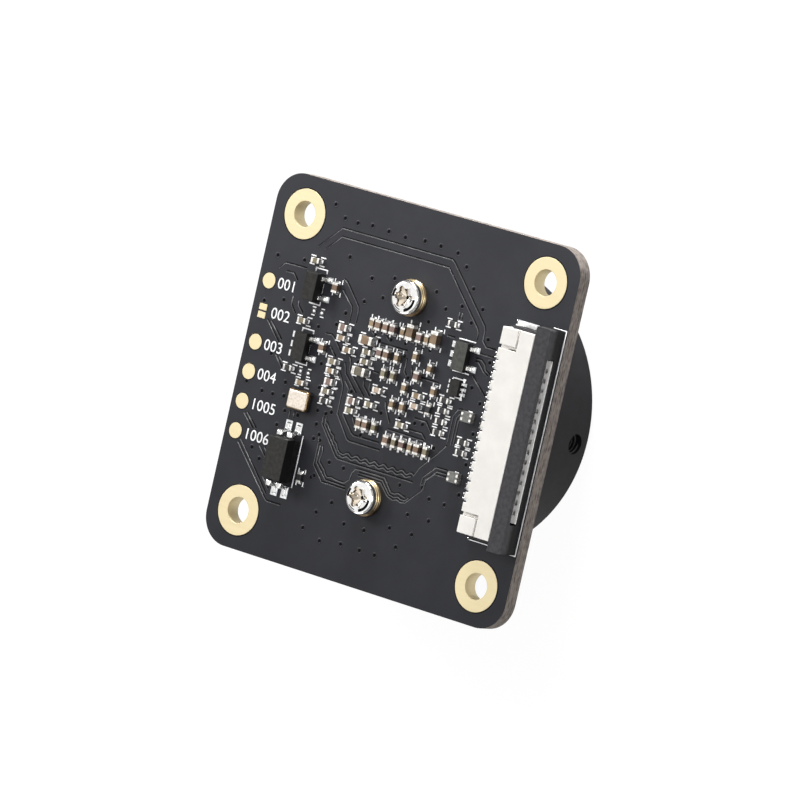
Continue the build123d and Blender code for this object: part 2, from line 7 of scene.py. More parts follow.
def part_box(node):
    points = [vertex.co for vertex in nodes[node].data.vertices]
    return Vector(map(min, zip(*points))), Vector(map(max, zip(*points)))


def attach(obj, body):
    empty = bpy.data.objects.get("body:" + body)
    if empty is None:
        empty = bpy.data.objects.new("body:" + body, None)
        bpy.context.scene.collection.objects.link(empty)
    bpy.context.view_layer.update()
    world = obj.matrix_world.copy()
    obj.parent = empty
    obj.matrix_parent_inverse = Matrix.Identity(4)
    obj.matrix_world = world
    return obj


# Board camera module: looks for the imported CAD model, in metres and in the same frame.
# The board lies flat with its component side up, and the lens mount stands on the floor.

MM = 0.001

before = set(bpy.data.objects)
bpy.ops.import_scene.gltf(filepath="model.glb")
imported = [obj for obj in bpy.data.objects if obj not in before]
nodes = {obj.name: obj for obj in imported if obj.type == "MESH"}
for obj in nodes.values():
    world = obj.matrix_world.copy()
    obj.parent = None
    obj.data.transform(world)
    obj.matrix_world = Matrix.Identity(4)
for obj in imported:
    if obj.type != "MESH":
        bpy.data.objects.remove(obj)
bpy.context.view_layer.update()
board_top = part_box("circuit_board")[1].z


# Shader nodes

def feed(tree, value, socket):
    """Link a socket to an input, or set the input to a number or a colour."""
    if isinstance(value, bpy.types.NodeSocket):
        tree.links.new(value, socket)
    else:
        socket.default_value = (*value, 1.0) if isinstance(value, tuple) else value


def calculated(tree, operation, *values):
    """The result of a sum on numbers and sockets."""
    node = tree.nodes.new("ShaderNodeMath")
    node.operation = operation
    for value, socket in zip(values, node.inputs):
        feed(tree, value, socket)
    return node.outputs["Value"]


def ranged(tree, value, low, high, from_low=0.0, from_high=1.0):
    """A value carried from one range to another."""
    node = tree.nodes.new("ShaderNodeMapRange")
    labels = ("Value", "From Min", "From Max", "To Min", "To Max")
    for label, given in zip(labels, (value, from_low, from_high, low, high)):
        feed(tree, given, node.inputs[label])
    return node.outputs["Result"]


def axes_of(tree, vector):
    """The X, Y and Z of a vector."""
    node = tree.nodes.new("ShaderNodeSeparateXYZ")
    feed(tree, vector, node.inputs["Vector"])
    return node.outputs


def scaled(tree, vector, scale):
    """Coordinates stretched by a scale for each axis."""
    node = tree.nodes.new("ShaderNodeMapping")
    node.inputs["Scale"].default_value = scale
    feed(tree, vector, node.inputs["Vector"])
    return node.outputs["Vector"]


def noise_in(tree, vector, scale, detail, roughness=0.55):
    """A noise over the given coordinates."""
    node = tree.nodes.new("ShaderNodeTexNoise")
    node.inputs["Detail"].default_value = detail
    node.inputs["Roughness"].default_value = roughness
    feed(tree, vector, node.inputs["Vector"])
    feed(tree, scale, node.inputs["Scale"])
    return node.outputs["Fac"]


def bumped(tree, height, strength, distance):
    """A normal bumped by a height."""
    node = tree.nodes.new("ShaderNodeBump")
    for label, given in (("Height", height), ("Strength", strength), ("Distance", distance)):
        feed(tree, given, node.inputs[label])
    return node.outputs["Normal"]


# Shader groups

def new_group(name, inputs, outputs):
    """An empty group: inputs without a value are vectors, and so is an output called Normal."""
    group = bpy.data.node_groups.new(name, "ShaderNodeTree")
    for label, value in inputs.items():
        kind = "NodeSocketVector" if value is None else "NodeSocketFloat"
        socket = group.interface.new_socket(label, in_out="INPUT", socket_type=kind)
        if value is not None:
            socket.default_value = value
    for label in outputs:
        kind = "NodeSocketVector" if label == "Normal" else "NodeSocketFloat"
        group.interface.new_socket(label, in_out="OUTPUT", socket_type=kind)
    return group, group.nodes.new("NodeGroupInput").outputs, group.nodes.new("NodeGroupOutput").inputs


def build_grain_group():
    """Mottling for colour, a finer grain for gloss, and a bumped normal."""
    inputs = {"Vector": None, "Patch Scale": 800.0, "Grain Scale": 9000.0, "Bump": 0.1, "Bump Distance": 0.00002}
    group, given, made = new_group("surface_grain", inputs, ("Patches", "Grain", "Normal"))
    patches = noise_in(group, given["Vector"], given["Patch Scale"], 3.0)
    grain = noise_in(group, given["Vector"], given["Grain Scale"], 4.0, 0.65)
    feed(group, ranged(group, patches, 0.0, 1.0, 0.35, 0.65), made["Patches"])
    feed(group, ranged(group, grain, 0.0, 1.0, 0.3, 0.7), made["Grain"])
    feed(group, bumped(group, grain, given["Bump"], given["Bump Distance"]), made["Normal"])
    return group


def build_brushing_group():
    """Fine scratches that run along X, for rolled, plated and brushed metal."""
    group, given, made = new_group("brushing", {"Vector": None, "Scale": 3000.0, "Bump": 0.1}, ("Streaks", "Normal"))
    streaks = noise_in(group, scaled(group, given["Vector"], (0.06, 1.0, 1.0)), given["Scale"], 3.0)
    feed(group, streaks, made["Streaks"])
    feed(group, bumped(group, streaks, given["Bump"], 0.00001), made["Normal"])
    return group


def build_facing_group():
    """How far the surface faces up or down, how far up only, and where it is nearly level."""
    group, given, made = new_group("facing", {"Normal": None}, ("Flat", "Up", "Level"))
    upward = axes_of(group, given["Normal"])["Z"]
    feed(group, ranged(group, calculated(group, "ABSOLUTE", upward), 0.0, 1.0, 0.4, 0.6), made["Flat"])
    feed(group, ranged(group, upward, 0.0, 1.0, 0.4, 0.7), made["Up"])
    feed(group, ranged(group, upward, 0.0, 1.0, 0.86, 0.97), made["Level"])
    return group


def build_screw_place_group():
    """Where a point lies round the nearer mount screw: across and up from its axis, and out from it, in metres."""
    outputs = ("Across", "Up", "Out", "Height")
    group, given, made = new_group("screw_place", {"Vector": None, "Row": 0.01}, outputs)
    axes = axes_of(group, given["Vector"])
    row = calculated(group, "MULTIPLY", calculated(group, "SIGN", axes["Y"]), given["Row"])
    up = calculated(group, "SUBTRACT", axes["Y"], row)
    across_squared = calculated(group, "MULTIPLY", axes["X"], axes["X"])
    squares = calculated(group, "ADD", across_squared, calculated(group, "MULTIPLY", up, up))
    for label, value in zip(outputs, (axes["X"], up, calculated(group, "SQRT", squares), axes["Z"])):
        feed(group, value, made[label])
    return group


surface_grain = build_grain_group()
screw_place = build_screw_place_group()
brushing = build_brushing_group()
facing = build_facing_group()


# Materials

finishes = {}


class Finish:
    """A material being made: its tree, its Principled shader, its coordinates and a group for its surface."""

    def __init__(self, name, *scales, surface=surface_grain):
        finishes[name] = self
        self.material = bpy.data.materials.new(name + "_look")
        self.material.use_nodes = True
        self.tree = self.material.node_tree
        self.shader = self.tree.nodes["Principled BSDF"].inputs
        self.place = self.tree.nodes.new("ShaderNodeTexCoord").outputs
        self.surface = self.group(surface, *scales)

    def group(self, group, *values, vector=None):
        """The outputs of a group, fed with coordinates, directions, and values for its numbers in their order."""
        node = self.tree.nodes.new("ShaderNodeGroup")
        node.node_tree = group
        for label, source in (("Vector", vector or self.place["Object"]), ("Normal", self.place["Normal"])):
            if label in node.inputs:
                feed(self.tree, source, node.inputs[label])
        numbers = [socket for socket in node.inputs if socket.type == "VALUE"]
        for socket, value in zip(numbers, values):
            socket.default_value = value
        return node.outputs

    def mix(self, mask, first, second):
        """A colour between two, by a mask."""
        node = self.tree.nodes.new("ShaderNodeMix")
        node.data_type = "RGBA"
        for label, value in (("Factor", mask), ("A", first), ("B", second)):
            feed(self.tree, value, node.inputs[label])
        return node.outputs["Result"]

    def mottled(self, dark, light):
        """A colour that varies in patches between two."""
        return self.mix(self.surface["Patches"], dark, light)

    def along(self, axis, start, end):
        """A mask that rises between two places along an axis, in metres."""
        return ranged(self.tree, axes_of(self.tree, self.place["Object"])[axis], 0.0, 1.0, start, end)

    def dressed(self, colour, rough, smooth=False, **values):
        """Give the shader its colour, its roughness or the range it varies in, its bump, and plain values."""
        if isinstance(rough, tuple):
            fine = self.surface["Streaks" if "Streaks" in self.surface else "Grain"]
            rough = ranged(self.tree, fine, *rough)
        feed(self.tree, colour, self.shader["Base Color"])
        feed(self.tree, rough, self.shader["Roughness"])
        if not smooth:
            feed(self.tree, self.surface["Normal"], self.shader["Normal"])
        for label, value in values.items():
            self.shader[label.replace("_", " ")].default_value = value


def grained(name, dark, light, rough, patch_scale=800.0, grain_scale=9000.0, bump=0.15, wall=None, **values):
    """A finish with two mottled colours, its walls painted darker as shade if asked, a gloss that varies, and a fine
    bump.
    """
    finish = Finish(name, patch_scale, grain_scale, bump)
    colour = finish.mottled(dark, light)
    # Painted shade: the walls take the colours darkened by the given factor
    if wall:
        beside = finish.mottled(tuple(c * wall for c in dark), tuple(c * wall for c in light))
        colour = finish.mix(finish.group(facing)["Up"], beside, colour)
    finish.dressed(colour, rough, **values)


def brushed(name, dark, light, rough, scale=3000.0, bump=0.15):
    """A metal with streaks in its colour, gloss and bump."""
    finish = Finish(name, scale, bump, surface=brushing)
    finish.dressed(finish.mix(finish.surface["Streaks"], dark, light), rough, Metallic=1.0)


def two_toned(name, scales, mask, first, second, rough, **values):
    """A finish of two mottled colours, by a mask that a function makes in it."""
    finish = Finish(name, *scales)
    finish.dressed(finish.mix(mask(finish), finish.mottled(*first), finish.mottled(*second)), rough, **values)


def build_board_finish():
    """Black solder mask on the faces, painted lighter towards the upper side and darker towards the lower as a
    painted sheen, and bare glass fibre on the edges.
    """
    finish = Finish("board_mask", 260.0, 14000.0, 0.12)
    flat = finish.group(facing)["Flat"]
    # Painted sheen: the mask colour is painted lighter towards +Y and darker towards -Y
    painted_shade_lower_mask = finish.mottled((0.0125, 0.0130, 0.0165), (0.0160, 0.0165, 0.0205))
    painted_sheen_upper_mask = finish.mottled((0.0225, 0.0230, 0.0280), (0.0270, 0.0276, 0.0330))
    mask = finish.mix(finish.along("Y", -0.019, 0.012), painted_shade_lower_mask, painted_sheen_upper_mask)
    flattened = scaled(finish.tree, finish.place["Object"], (0.6, 0.6, 1.3))
    fibre = finish.group(surface_grain, 2600.0, 16000.0, 0.5, vector=flattened)
    weave = finish.mix(fibre["Patches"], (0.075, 0.062, 0.055), (0.205, 0.178, 0.16))
    layers = finish.tree.nodes.new("ShaderNodeTexWave")
    layers.bands_direction = "Z"
    for label, value in (("Scale", 900.0), ("Distortion", 1.2), ("Detail Scale", 3.0)):
        layers.inputs[label].default_value = value
    feed(finish.tree, finish.place["Object"], layers.inputs["Vector"])
    edge = finish.mix(ranged(finish.tree, layers.outputs["Fac"], 0.0, 0.35), weave, (0.27, 0.24, 0.22))
    rough = ranged(finish.tree, flat, 0.85, 0.46)
    finish.dressed(finish.mix(flat, edge, mask), rough, Specular_IOR_Level=0.2)


build_board_finish()
brushed("gold_plating", (0.575, 0.495, 0.31), (0.675, 0.595, 0.405), (0.56, 0.7), 2400.0, 0.25)
brushed("contact_metal", (0.62, 0.6, 0.56), (0.8, 0.78, 0.73), (0.25, 0.4))
grained(
    "mount_black", (0.0065, 0.0058, 0.0072), (0.0095, 0.0085, 0.0105), (0.42, 0.56), 500.0, 12000.0, 0.2,
    Specular_IOR_Level=0.14,
)
grained("sensor_ceramic", (0.10, 0.09, 0.08), (0.14, 0.125, 0.11), (0.6, 0.8))
grained("sensor_silicon", (0.05, 0.06, 0.11), (0.08, 0.07, 0.14), (0.12, 0.22), 300.0, 20000.0, 0.05)
grained(
    "oscillator_ceramic", (0.006, 0.006, 0.006), (0.012, 0.011, 0.011), (0.5, 0.7), 2500.0,
    Specular_IOR_Level=0.25,
)
grained("ferrite_grey", (0.10, 0.10, 0.095), (0.16, 0.16, 0.15), (0.5, 0.7), 3000.0, 14000.0, 0.4)
grained("resistor_black", (0.012, 0.012, 0.014), (0.02, 0.02, 0.022), (0.3, 0.45), 3000.0)
grained("silkscreen", (0.84, 0.84, 0.85), (0.95, 0.95, 0.96), (0.5, 0.7), 3500.0, 16000.0, 0.3)
# Pale mask: painted highlight on the groove edges
grained("mask_pale", (0.048, 0.049, 0.054), (0.090, 0.091, 0.098), (0.34, 0.46), 900.0, 14000.0, 0.2)
# Near-black mask for groove floors and pad openings: partly the real darker mask, partly painted shade
grained(
    "mask_sunk", (0.0025, 0.0025, 0.003), (0.007, 0.007, 0.008), (0.5, 0.65), 900.0, 14000.0, 0.2,
    Specular_IOR_Level=0.1,
)
# Near-black, used as painted shade in the via and recess middles and as painted reflection in the screw-face arcs
grained("hole_dark", (0.0015, 0.0015, 0.0015), (0.004, 0.004, 0.004), (0.6, 0.8), 2000.0, Specular_IOR_Level=0.05)
grained("thread_edge", (0.015, 0.014, 0.015), (0.06, 0.058, 0.056), (0.25, 0.4), 900.0, Metallic=0.5)
# Chip ceramics, with their walls painted darker as shade
for name, dark, light in (
    ("ceramic_tan", (0.22, 0.15, 0.085), (0.34, 0.25, 0.155)),
    ("ceramic_brown", (0.15, 0.095, 0.06), (0.25, 0.165, 0.115)),
    ("ceramic_maroon", (0.14, 0.088, 0.072), (0.24, 0.16, 0.138)),
    ("ceramic_olive", (0.17, 0.145, 0.088), (0.28, 0.245, 0.165)),
    ("ceramic_peach", (0.38, 0.275, 0.195), (0.52, 0.40, 0.31)),
):
    grained(name, dark, light, (0.3, 0.48), 700.0, wall=0.4)
for name, dark, light, rough, patch_scale, grain_scale, bump, metallic in (
    ("tin_metal", (0.66, 0.66, 0.65), (0.88, 0.88, 0.87), (0.16, 0.32), 1500.0, 7000.0, 0.08, 1.0),
    ("chip_ends", (0.50, 0.48, 0.45), (0.90, 0.88, 0.83), (0.3, 0.5), 3000.0, 9000.0, 0.3, 1.0),
    ("pad_dark", (0.04, 0.04, 0.042), (0.13, 0.13, 0.135), (0.3, 0.5), 4000.0, 9000.0, 0.2, 1.0),
    ("solder", (0.66, 0.67, 0.68), (0.85, 0.86, 0.86), (0.2, 0.42), 3500.0, 9000.0, 0.3, 1.0),
    ("solder_dull", (0.20, 0.20, 0.205), (0.52, 0.52, 0.53), (0.25, 0.45), 3000.0, 9000.0, 0.2, 1.0),
    ("solder_bright", (0.46, 0.46, 0.47), (0.88, 0.88, 0.88), (0.1, 0.26), 2200.0, 6000.0, 0.06, 1.0),
    ("solder_white", (0.80, 0.80, 0.80), (0.94, 0.94, 0.94), (0.36, 0.5), 2200.0, 9000.0, 0.06, 0.5),
    ("solder_grey", (0.16, 0.16, 0.165), (0.62, 0.62, 0.63), (0.24, 0.42), 4200.0, 9000.0, 0.1, 1.0),
):
    grained(name, dark, light, rough, patch_scale, grain_scale, bump, Metallic=metallic)


def moulded(name, wall, dark, light, fade_from, fade_to):
    """A black moulding: a mottled matt top, and walls painted near-black as shade low down, taking the top's lighter
    colour as painted light higher up; the change lies between two heights above the board.
    """
    finish = Finish(name, 2600.0, 7000.0, 0.3)
    # Painted shade: walls get the near-black wall colour up to the first height, and the top's colour above the
    # second
    high = finish.along("Z", board_top + fade_from * MM, board_top + fade_to * MM)
    shown = calculated(finish.tree, "MAXIMUM", finish.group(facing)["Up"], high)
    finish.dressed(finish.mix(shown, wall, finish.mottled(dark, light)), (0.5, 0.68), Specular_IOR_Level=0.18)


def build_screw_finish():
    """Bright nickel, with a bronze painted shade on the left walls of the recess."""
    finish = Finish("screw_nickel", 900.0, 5000.0, 0.02)
    tree = finish.tree
    spot = finish.group(screw_place, screw_row)
    within = ranged(tree, spot["Out"], 1.0, 0.0, 1.1 * MM, 1.18 * MM)
    deep = ranged(tree, spot["Height"], 1.0, 0.0, screw_top - 0.2 * MM, screw_top - 0.06 * MM)
    left = ranged(tree, spot["Across"], 1.0, 0.05, -0.1 * MM, 0.3 * MM)
    # Painted shade: a darker bronze on the left walls, deep in the recess
    recess_shade = calculated(tree, "MULTIPLY", calculated(tree, "MULTIPLY", within, deep), left)
    bright = finish.mottled((0.86, 0.85, 0.83), (0.95, 0.945, 0.93))
    bronze = finish.mottled((0.24, 0.20, 0.15), (0.55, 0.49, 0.41))
    finish.dressed(finish.mix(recess_shade, bright, bronze), (0.07, 0.15), Metallic=1.0)


def build_large_ceramic_finish():
    """The four large capacitors: brown ones to the right, tan and olive ones to the left, their walls painted dark
    brown as shade.
    """
    finish = Finish("ceramic_large", 900.0, 9000.0, 0.15)
    brown = finish.mottled((0.16, 0.105, 0.06), (0.25, 0.17, 0.10))
    tan = finish.mottled((0.18, 0.115, 0.066), (0.29, 0.19, 0.115))
    olive = finish.mottled((0.075, 0.066, 0.043), (0.14, 0.124, 0.084))
    left_ones = finish.mix(finish.along("Y", 0.003, 0.0035), olive, tan)
    top = finish.mix(finish.along("X", -0.001, -0.003), brown, left_ones)
    # Painted shade: walls that do not face up get a dark brown
    finish.dressed(finish.mix(finish.group(facing)["Up"], (0.07, 0.05, 0.03), top), (0.3, 0.46))


def build_glass(name, tint, ior):
    """A clear glass with a faint film that varies over it."""
    finish = Finish(name, 200.0, 4000.0, 0.02)
    film = finish.mottled(tint, tuple(c * 0.95 for c in tint))
    finish.dressed(film, (0.02, 0.06), smooth=True, Transmission_Weight=1.0, IOR=ior)


screw_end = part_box("mount_screws")[1]
screw_row = screw_end.y - 1.7 * MM
screw_top = screw_end.z
build_screw_finish()
build_large_ceramic_finish()
# Washers and lock rings: gold-coloured, with a dark brown painted reflection towards the lower side
two_toned(
    "washer_gold", (1400.0, 5000.0, 0.03),
    lambda finish: ranged(finish.tree, finish.group(screw_place, screw_row)["Up"], 0.0, 1.0, -1.0 * MM, 0.1 * MM),
    ((0.06, 0.042, 0.024), (0.17, 0.12, 0.07)), ((0.50, 0.39, 0.22), (0.66, 0.54, 0.34)), (0.26, 0.36), Metallic=1.0,
)
# The oscillator's plated lid: pale and grainy above, with a dark bronze painted reflection on its rounded sides
two_toned(
    "oscillator_lid", (5000.0, 12000.0, 0.35), lambda finish: finish.group(facing)["Level"],
    ((0.12, 0.08, 0.04), (0.30, 0.21, 0.12)), ((0.60, 0.53, 0.45), (0.82, 0.75, 0.67)), (0.3, 0.46), Metallic=1.0,
)
# The connector's tinned tabs: the upper one bright, the lower one painted near-black as the housing's shadow
two_toned(
    "hold_down_tin", (1500.0, 7000.0, 0.06), lambda finish: finish.along("Y", -0.001, 0.001),
    ((0.012, 0.012, 0.013), (0.045, 0.044, 0.045)), ((0.74, 0.74, 0.73), (0.92, 0.92, 0.91)), (0.24, 0.4),
    Metallic=1.0,
)
# Ivory moulding, painted whiter as painted light at the cable lip that shows through the slider's window, where the
# slider shades it
two_toned(
    "connector_ivory", (500.0, 7000.0, 0.12), lambda finish: finish.along("X", 0.0169, 0.0170),
    ((0.715, 0.69, 0.655), (0.77, 0.745, 0.71)), ((0.93, 0.92, 0.90), (0.98, 0.97, 0.95)), (0.4, 0.52),
)
build_glass("filter_glass", (0.72, 0.86, 0.90), 1.52)
build_glass("cover_glass", (0.94, 0.97, 0.97), 1.5)
# The first colour of each moulding is near-black painted shade for its walls
ic_wall_shade = (0.0035, 0.0035, 0.0035)
moulded("slider_black", (0.003, 0.003, 0.0035), (0.034, 0.0325, 0.0355), (0.051, 0.049, 0.053), 1.2, 1.8)
moulded("ic_black", ic_wall_shade, (0.015, 0.0145, 0.0135), (0.026, 0.025, 0.0235), 3.0, 4.0)
moulded("ic_pale", ic_wall_shade, (0.048, 0.050, 0.045), (0.076, 0.078, 0.070), 3.0, 4.0)

for node in nodes.values():
    for part_slot in node.material_slots:
        part_slot.material = finishes[part_slot.material.name].material
for name, look in (
    ("capacitors_large", "ceramic_large"), ("ffc_hold_downs", "hold_down_tin"), ("bare_chip_pads", "pad_dark"),
    ("six_pin_ic_leads", "solder_white"), ("five_pin_ic_c_body", "ic_pale"),
):
    nodes[name].material_slots[0].material = finishes[look].material


# Camera, lights and floor

def put_in_scene(name, data):
    """A new object for a camera, lamp or curve."""
    piece = bpy.data.objects.new(name, data)
    bpy.context.scene.collection.objects.link(piece)
    return piece


def build_camera():
    """The camera of the photograph: to the right of the module and high above it, far off with a long lens."""
    data = bpy.data.cameras.new("camera")
    camera = put_in_scene("camera", data)
    data.sensor_width = 36.0
    data.lens = 317.66
    data.clip_start = 0.05
    data.clip_end = 20.0
    right = Vector((0.77538654, 0.2205793, -0.59170979))
    down = Vector((0.23551789, -0.97041678, -0.05312816))
    ahead = Vector((-0.58592408, -0.09816338, -0.80439848))
    turn = Matrix((right, -down, -ahead)).transposed().to_4x4()
    camera.matrix_world = Matrix.Translation((0.402509, 0.067349, 0.564975)) @ turn
    bpy.context.scene.camera = camera


def area_light(name, place, aim_height, size, power):
    """A square soft light that looks at a point above the middle of the floor."""
    data = bpy.data.lights.new(name, "AREA")
    data.shape = "SQUARE"
    data.size = size
    data.energy = power
    light = put_in_scene(name, data)
    look = Vector((0.0, 0.0, aim_height)) - Vector(place)
    light.matrix_world = Matrix.Translation(place) @ look.to_track_quat("-Z", "Y").to_matrix().to_4x4()


lamps = [
    ("left", (-0.34, 0.14, 0.24), 0.012, 0.16, 1.25),
    ("front", (0.42, 0.05, 0.36), 0.012, 0.2, 1.05),
    ("upper", (0.06, 0.42, 0.22), 0.012, 0.2, 0.55),
    ("rim", (-0.05, 0.34, 0.04), 0.012, 0.1, 3.0),
    ("lower", (-0.15, -0.42, 0.12), 0.012, 0.3, 0.6),
    ("top", (0.05, -0.06, 0.5), 0.014, 0.22, 0.15),
]
room_light = 0.24
floor_glow = 0.93
bore_shade = (0.0130, 0.0140)


def shown_rays(tree):
    """1 for rays from the camera, a mirror or through glass, and 0 for the rest; and the kinds of ray."""
    rays = tree.nodes.new("ShaderNodeLightPath").outputs
    seen = calculated(tree, "MAXIMUM", rays["Is Camera Ray"], rays["Is Transmission Ray"])
    return calculated(tree, "MAXIMUM", seen, rays["Is Glossy Ray"]), rays


def build_world():
    """Even studio light, white for the camera and through glass, and with dimmer walls low down for mirrors."""
    world = bpy.data.worlds.new("studio")
    bpy.context.scene.world = world
    world.use_nodes = True
    tree = world.node_tree
    tree.nodes.clear()
    shown, rays = shown_rays(tree)
    upward = axes_of(tree, tree.nodes.new("ShaderNodeTexCoord").outputs["Generated"])["Z"]
    walls = ranged(tree, upward, 0.2, 1.0, 0.3, 0.7)
    walls.node.interpolation_type = "SMOOTHSTEP"
    mirrored = ranged(tree, rays["Is Glossy Ray"], 1.0, walls)
    strength = calculated(tree, "MULTIPLY", ranged(tree, shown, room_light, 1.0), mirrored)
    background = tree.nodes.new("ShaderNodeBackground")
    background.inputs["Color"].default_value = (1.0, 1.0, 1.0, 1.0)
    feed(tree, strength, background.inputs["Strength"])
    output = tree.nodes.new("ShaderNodeOutputWorld")
    feed(tree, background.outputs["Background"], output.inputs["Surface"])


def diffuse(tree, level):
    """A matt grey paint."""
    paint = tree.nodes.new("ShaderNodeBsdfDiffuse")
    paint.inputs["Color"].default_value = (level, level, level, 1.0)
    return paint.outputs["BSDF"]


def build_floor():
    """A white floor that keeps the module's soft shadow, with its glow cut out under the mount's bore as painted
    shade.
    """
    bpy.ops.mesh.primitive_plane_add(size=6.0, location=(0.0, 0.0, -0.00005))
    floor = bpy.context.object
    floor.name = "floor"
    material = bpy.data.materials.new("floor_white")
    material.use_nodes = True
    tree = material.node_tree
    tree.nodes.clear()
    reach = tree.nodes.new("ShaderNodeVectorMath")
    reach.operation = "LENGTH"
    feed(tree, tree.nodes.new("ShaderNodeTexCoord").outputs["Object"], reach.inputs[0])
    glow = tree.nodes.new("ShaderNodeEmission")
    feed(tree, ranged(tree, reach.outputs["Value"], 0.0, floor_glow, *bore_shade), glow.inputs["Strength"])
    seen_look = tree.nodes.new("ShaderNodeAddShader")
    feed(tree, diffuse(tree, 0.1), seen_look.inputs[0])
    feed(tree, glow.outputs["Emission"], seen_look.inputs[1])
    choose = tree.nodes.new("ShaderNodeMixShader")
    feed(tree, shown_rays(tree)[0], choose.inputs["Fac"])
    feed(tree, diffuse(tree, 0.8), choose.inputs[1])
    feed(tree, seen_look.outputs["Shader"], choose.inputs[2])
    output = tree.nodes.new("ShaderNodeOutputMaterial")
    feed(tree, choose.outputs["Shader"], output.inputs["Surface"])
    floor.data.materials.append(material)


# Pieces shared by the rest

def switch(mode):
    """Go to object mode or to edit mode."""
    bpy.ops.object.mode_set(mode=mode)


def only(*pieces):
    """Select these pieces alone, with the first one active."""
    bpy.ops.object.select_all(action="DESELECT")
    for piece in pieces:
        piece.select_set(True)
    bpy.context.view_layer.objects.active = pieces[0]


def copy_to(pattern, matrix):
    """A copy of a modelled pattern with its own mesh, moved in its mesh."""
    piece = pattern.copy()
    piece.data = pattern.data.copy()
    piece.data.transform(matrix)
    bpy.context.scene.collection.objects.link(piece)
    return piece


def pick(piece, wanted):
    """In edit mode, with only the points selected whose place passes a test."""
    switch("OBJECT")
    only(piece)
    switch("EDIT")
    bpy.ops.mesh.select_mode(type="VERT")
    bpy.ops.mesh.select_all(action="DESELECT")
    switch("OBJECT")
    for vertex in piece.data.vertices:
        vertex.select = wanted(vertex.co)
    switch("EDIT")


def edit_whole():
    """In edit mode, with all of the active piece selected."""
    switch("EDIT")
    bpy.ops.mesh.select_all(action="SELECT")


def shaded():
    """Back in object mode, with the active piece smooth but for its sharper edges."""
    switch("OBJECT")
    bpy.ops.object.shade_smooth_by_angle(angle=math.radians(50))


def copies_of(pattern, places):
    """A copy of a pattern at each place, each with its own mesh; the pattern itself goes."""
    copies = [copy_to(pattern, spot) for spot in places]
    bpy.data.objects.remove(pattern)
    return copies


def finished(piece, name, finish):
    """Name, dress and ride a piece that is whole."""
    piece.name = name
    piece.data.name = name
    piece.data.materials.clear()
    piece.data.materials.append(finishes[finish].material)
    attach(piece, "module")


def joined(pieces, name, finish):
    """Several pieces made one, then finished."""
    only(*pieces)
    bpy.ops.object.join()
    finished(bpy.context.object, name, finish)


def moved(x, y, z=0.0):
    """A step in millimetres."""
    return Matrix.Translation((x * MM, y * MM, z * MM))


def sized(x, y, z):
    """The size in millimetres that a pattern one metre long, wide and high is brought to."""
    return Matrix.Diagonal((x * MM, y * MM, z * MM, 1.0))


def place(x, y, z=0.0, turn=0.0):
    """A place on the board: millimetres along X and Y, above its face, turned about Z in degrees."""
    return moved(x, y, z + board_top / MM) @ Matrix.Rotation(math.radians(turn), 4, "Z")


def flat_curve(name, lines):
    """A curve of straight runs through points in millimetres."""
    piece = put_in_scene(name, bpy.data.curves.new(name, "CURVE"))
    for line in lines:
        spline = piece.data.splines.new("POLY")
        spline.points.add(len(line) - 1)
        for point, (x, y) in zip(spline.points, line):
            point.co = (x * MM, y * MM, 0.0, 1.0)
    return piece


def swept(lines, section, name, finish):
    """A low ridge of one cross-section along each line, all in millimetres on the board's face."""
    profile = flat_curve(name + "_section", [section])
    profile.data.splines[0].use_cyclic_u = True
    route = flat_curve(name, lines)
    route.data.dimensions = "2D"
    route.data.fill_mode = "NONE"
    route.data.bevel_mode = "OBJECT"
    route.data.bevel_object = profile
    route.data.use_fill_caps = True
    only(route)
    bpy.ops.object.convert(target="MESH")
    bpy.data.objects.remove(profile)
    piece = bpy.context.object
    edit_whole()
    bpy.ops.mesh.remove_doubles(threshold=0.0000005)
    bpy.ops.mesh.normals_make_consistent(inside=False)
    switch("OBJECT")
    piece.data.transform(place(0.0, 0.0))
    finished(piece, name, finish)


def solids_of(name):
    """The lowest and highest corner of each solid in a CAD node, read from a merged copy."""
    only(copy_to(nodes[name], Matrix()))
    edit_whole()
    bpy.ops.mesh.remove_doubles(threshold=0.000001)
    bpy.ops.mesh.separate(type="LOOSE")
    switch("OBJECT")
    boxes = []
    for part in list(bpy.context.selected_objects):
        corners = [part.matrix_world @ vertex.co for vertex in part.data.vertices]
        lowest = Vector([min(corner[i] for corner in corners) for i in range(3)])
        highest = Vector([max(corner[i] for corner in corners) for i in range(3)])
        boxes.append((lowest / MM, highest / MM))
        bpy.data.objects.remove(part)
    return boxes


def centres_of(name):
    """The middle of each solid in a CAD node, and how high above the board they reach, in millimetres."""
    boxes = solids_of(name)
    return [(lowest + highest) / 2 for lowest, highest in boxes], boxes[0][1].z - board_top / MM


def soften(name, width, segments):
    """Round a CAD node's sharp edges by a small radius in millimetres."""
    node = nodes[name]
    weld = node.modifiers.new("weld", "WELD")
    weld.merge_threshold = 0.000001
    bevel = node.modifiers.new("edge_rounding", "BEVEL")
    bevel.width = width * MM
    bevel.segments = segments
    bevel.limit_method = "ANGLE"
    bevel.angle_limit = math.radians(40.0)
    bevel.use_clamp_overlap = True


# Etched lines, vias and pad openings under the mask

def wave(x_low, x_high, middle, height, period, crest):
    """Points of a gently wavy trace along X."""
    steps = int((x_high - x_low) / period * 8)
    run = [x_low + (x_high - x_low) * i / steps for i in range(steps + 1)]
    return [(x, middle + height / 2 * math.cos(2 * math.pi * (x - crest) / period)) for x in run]
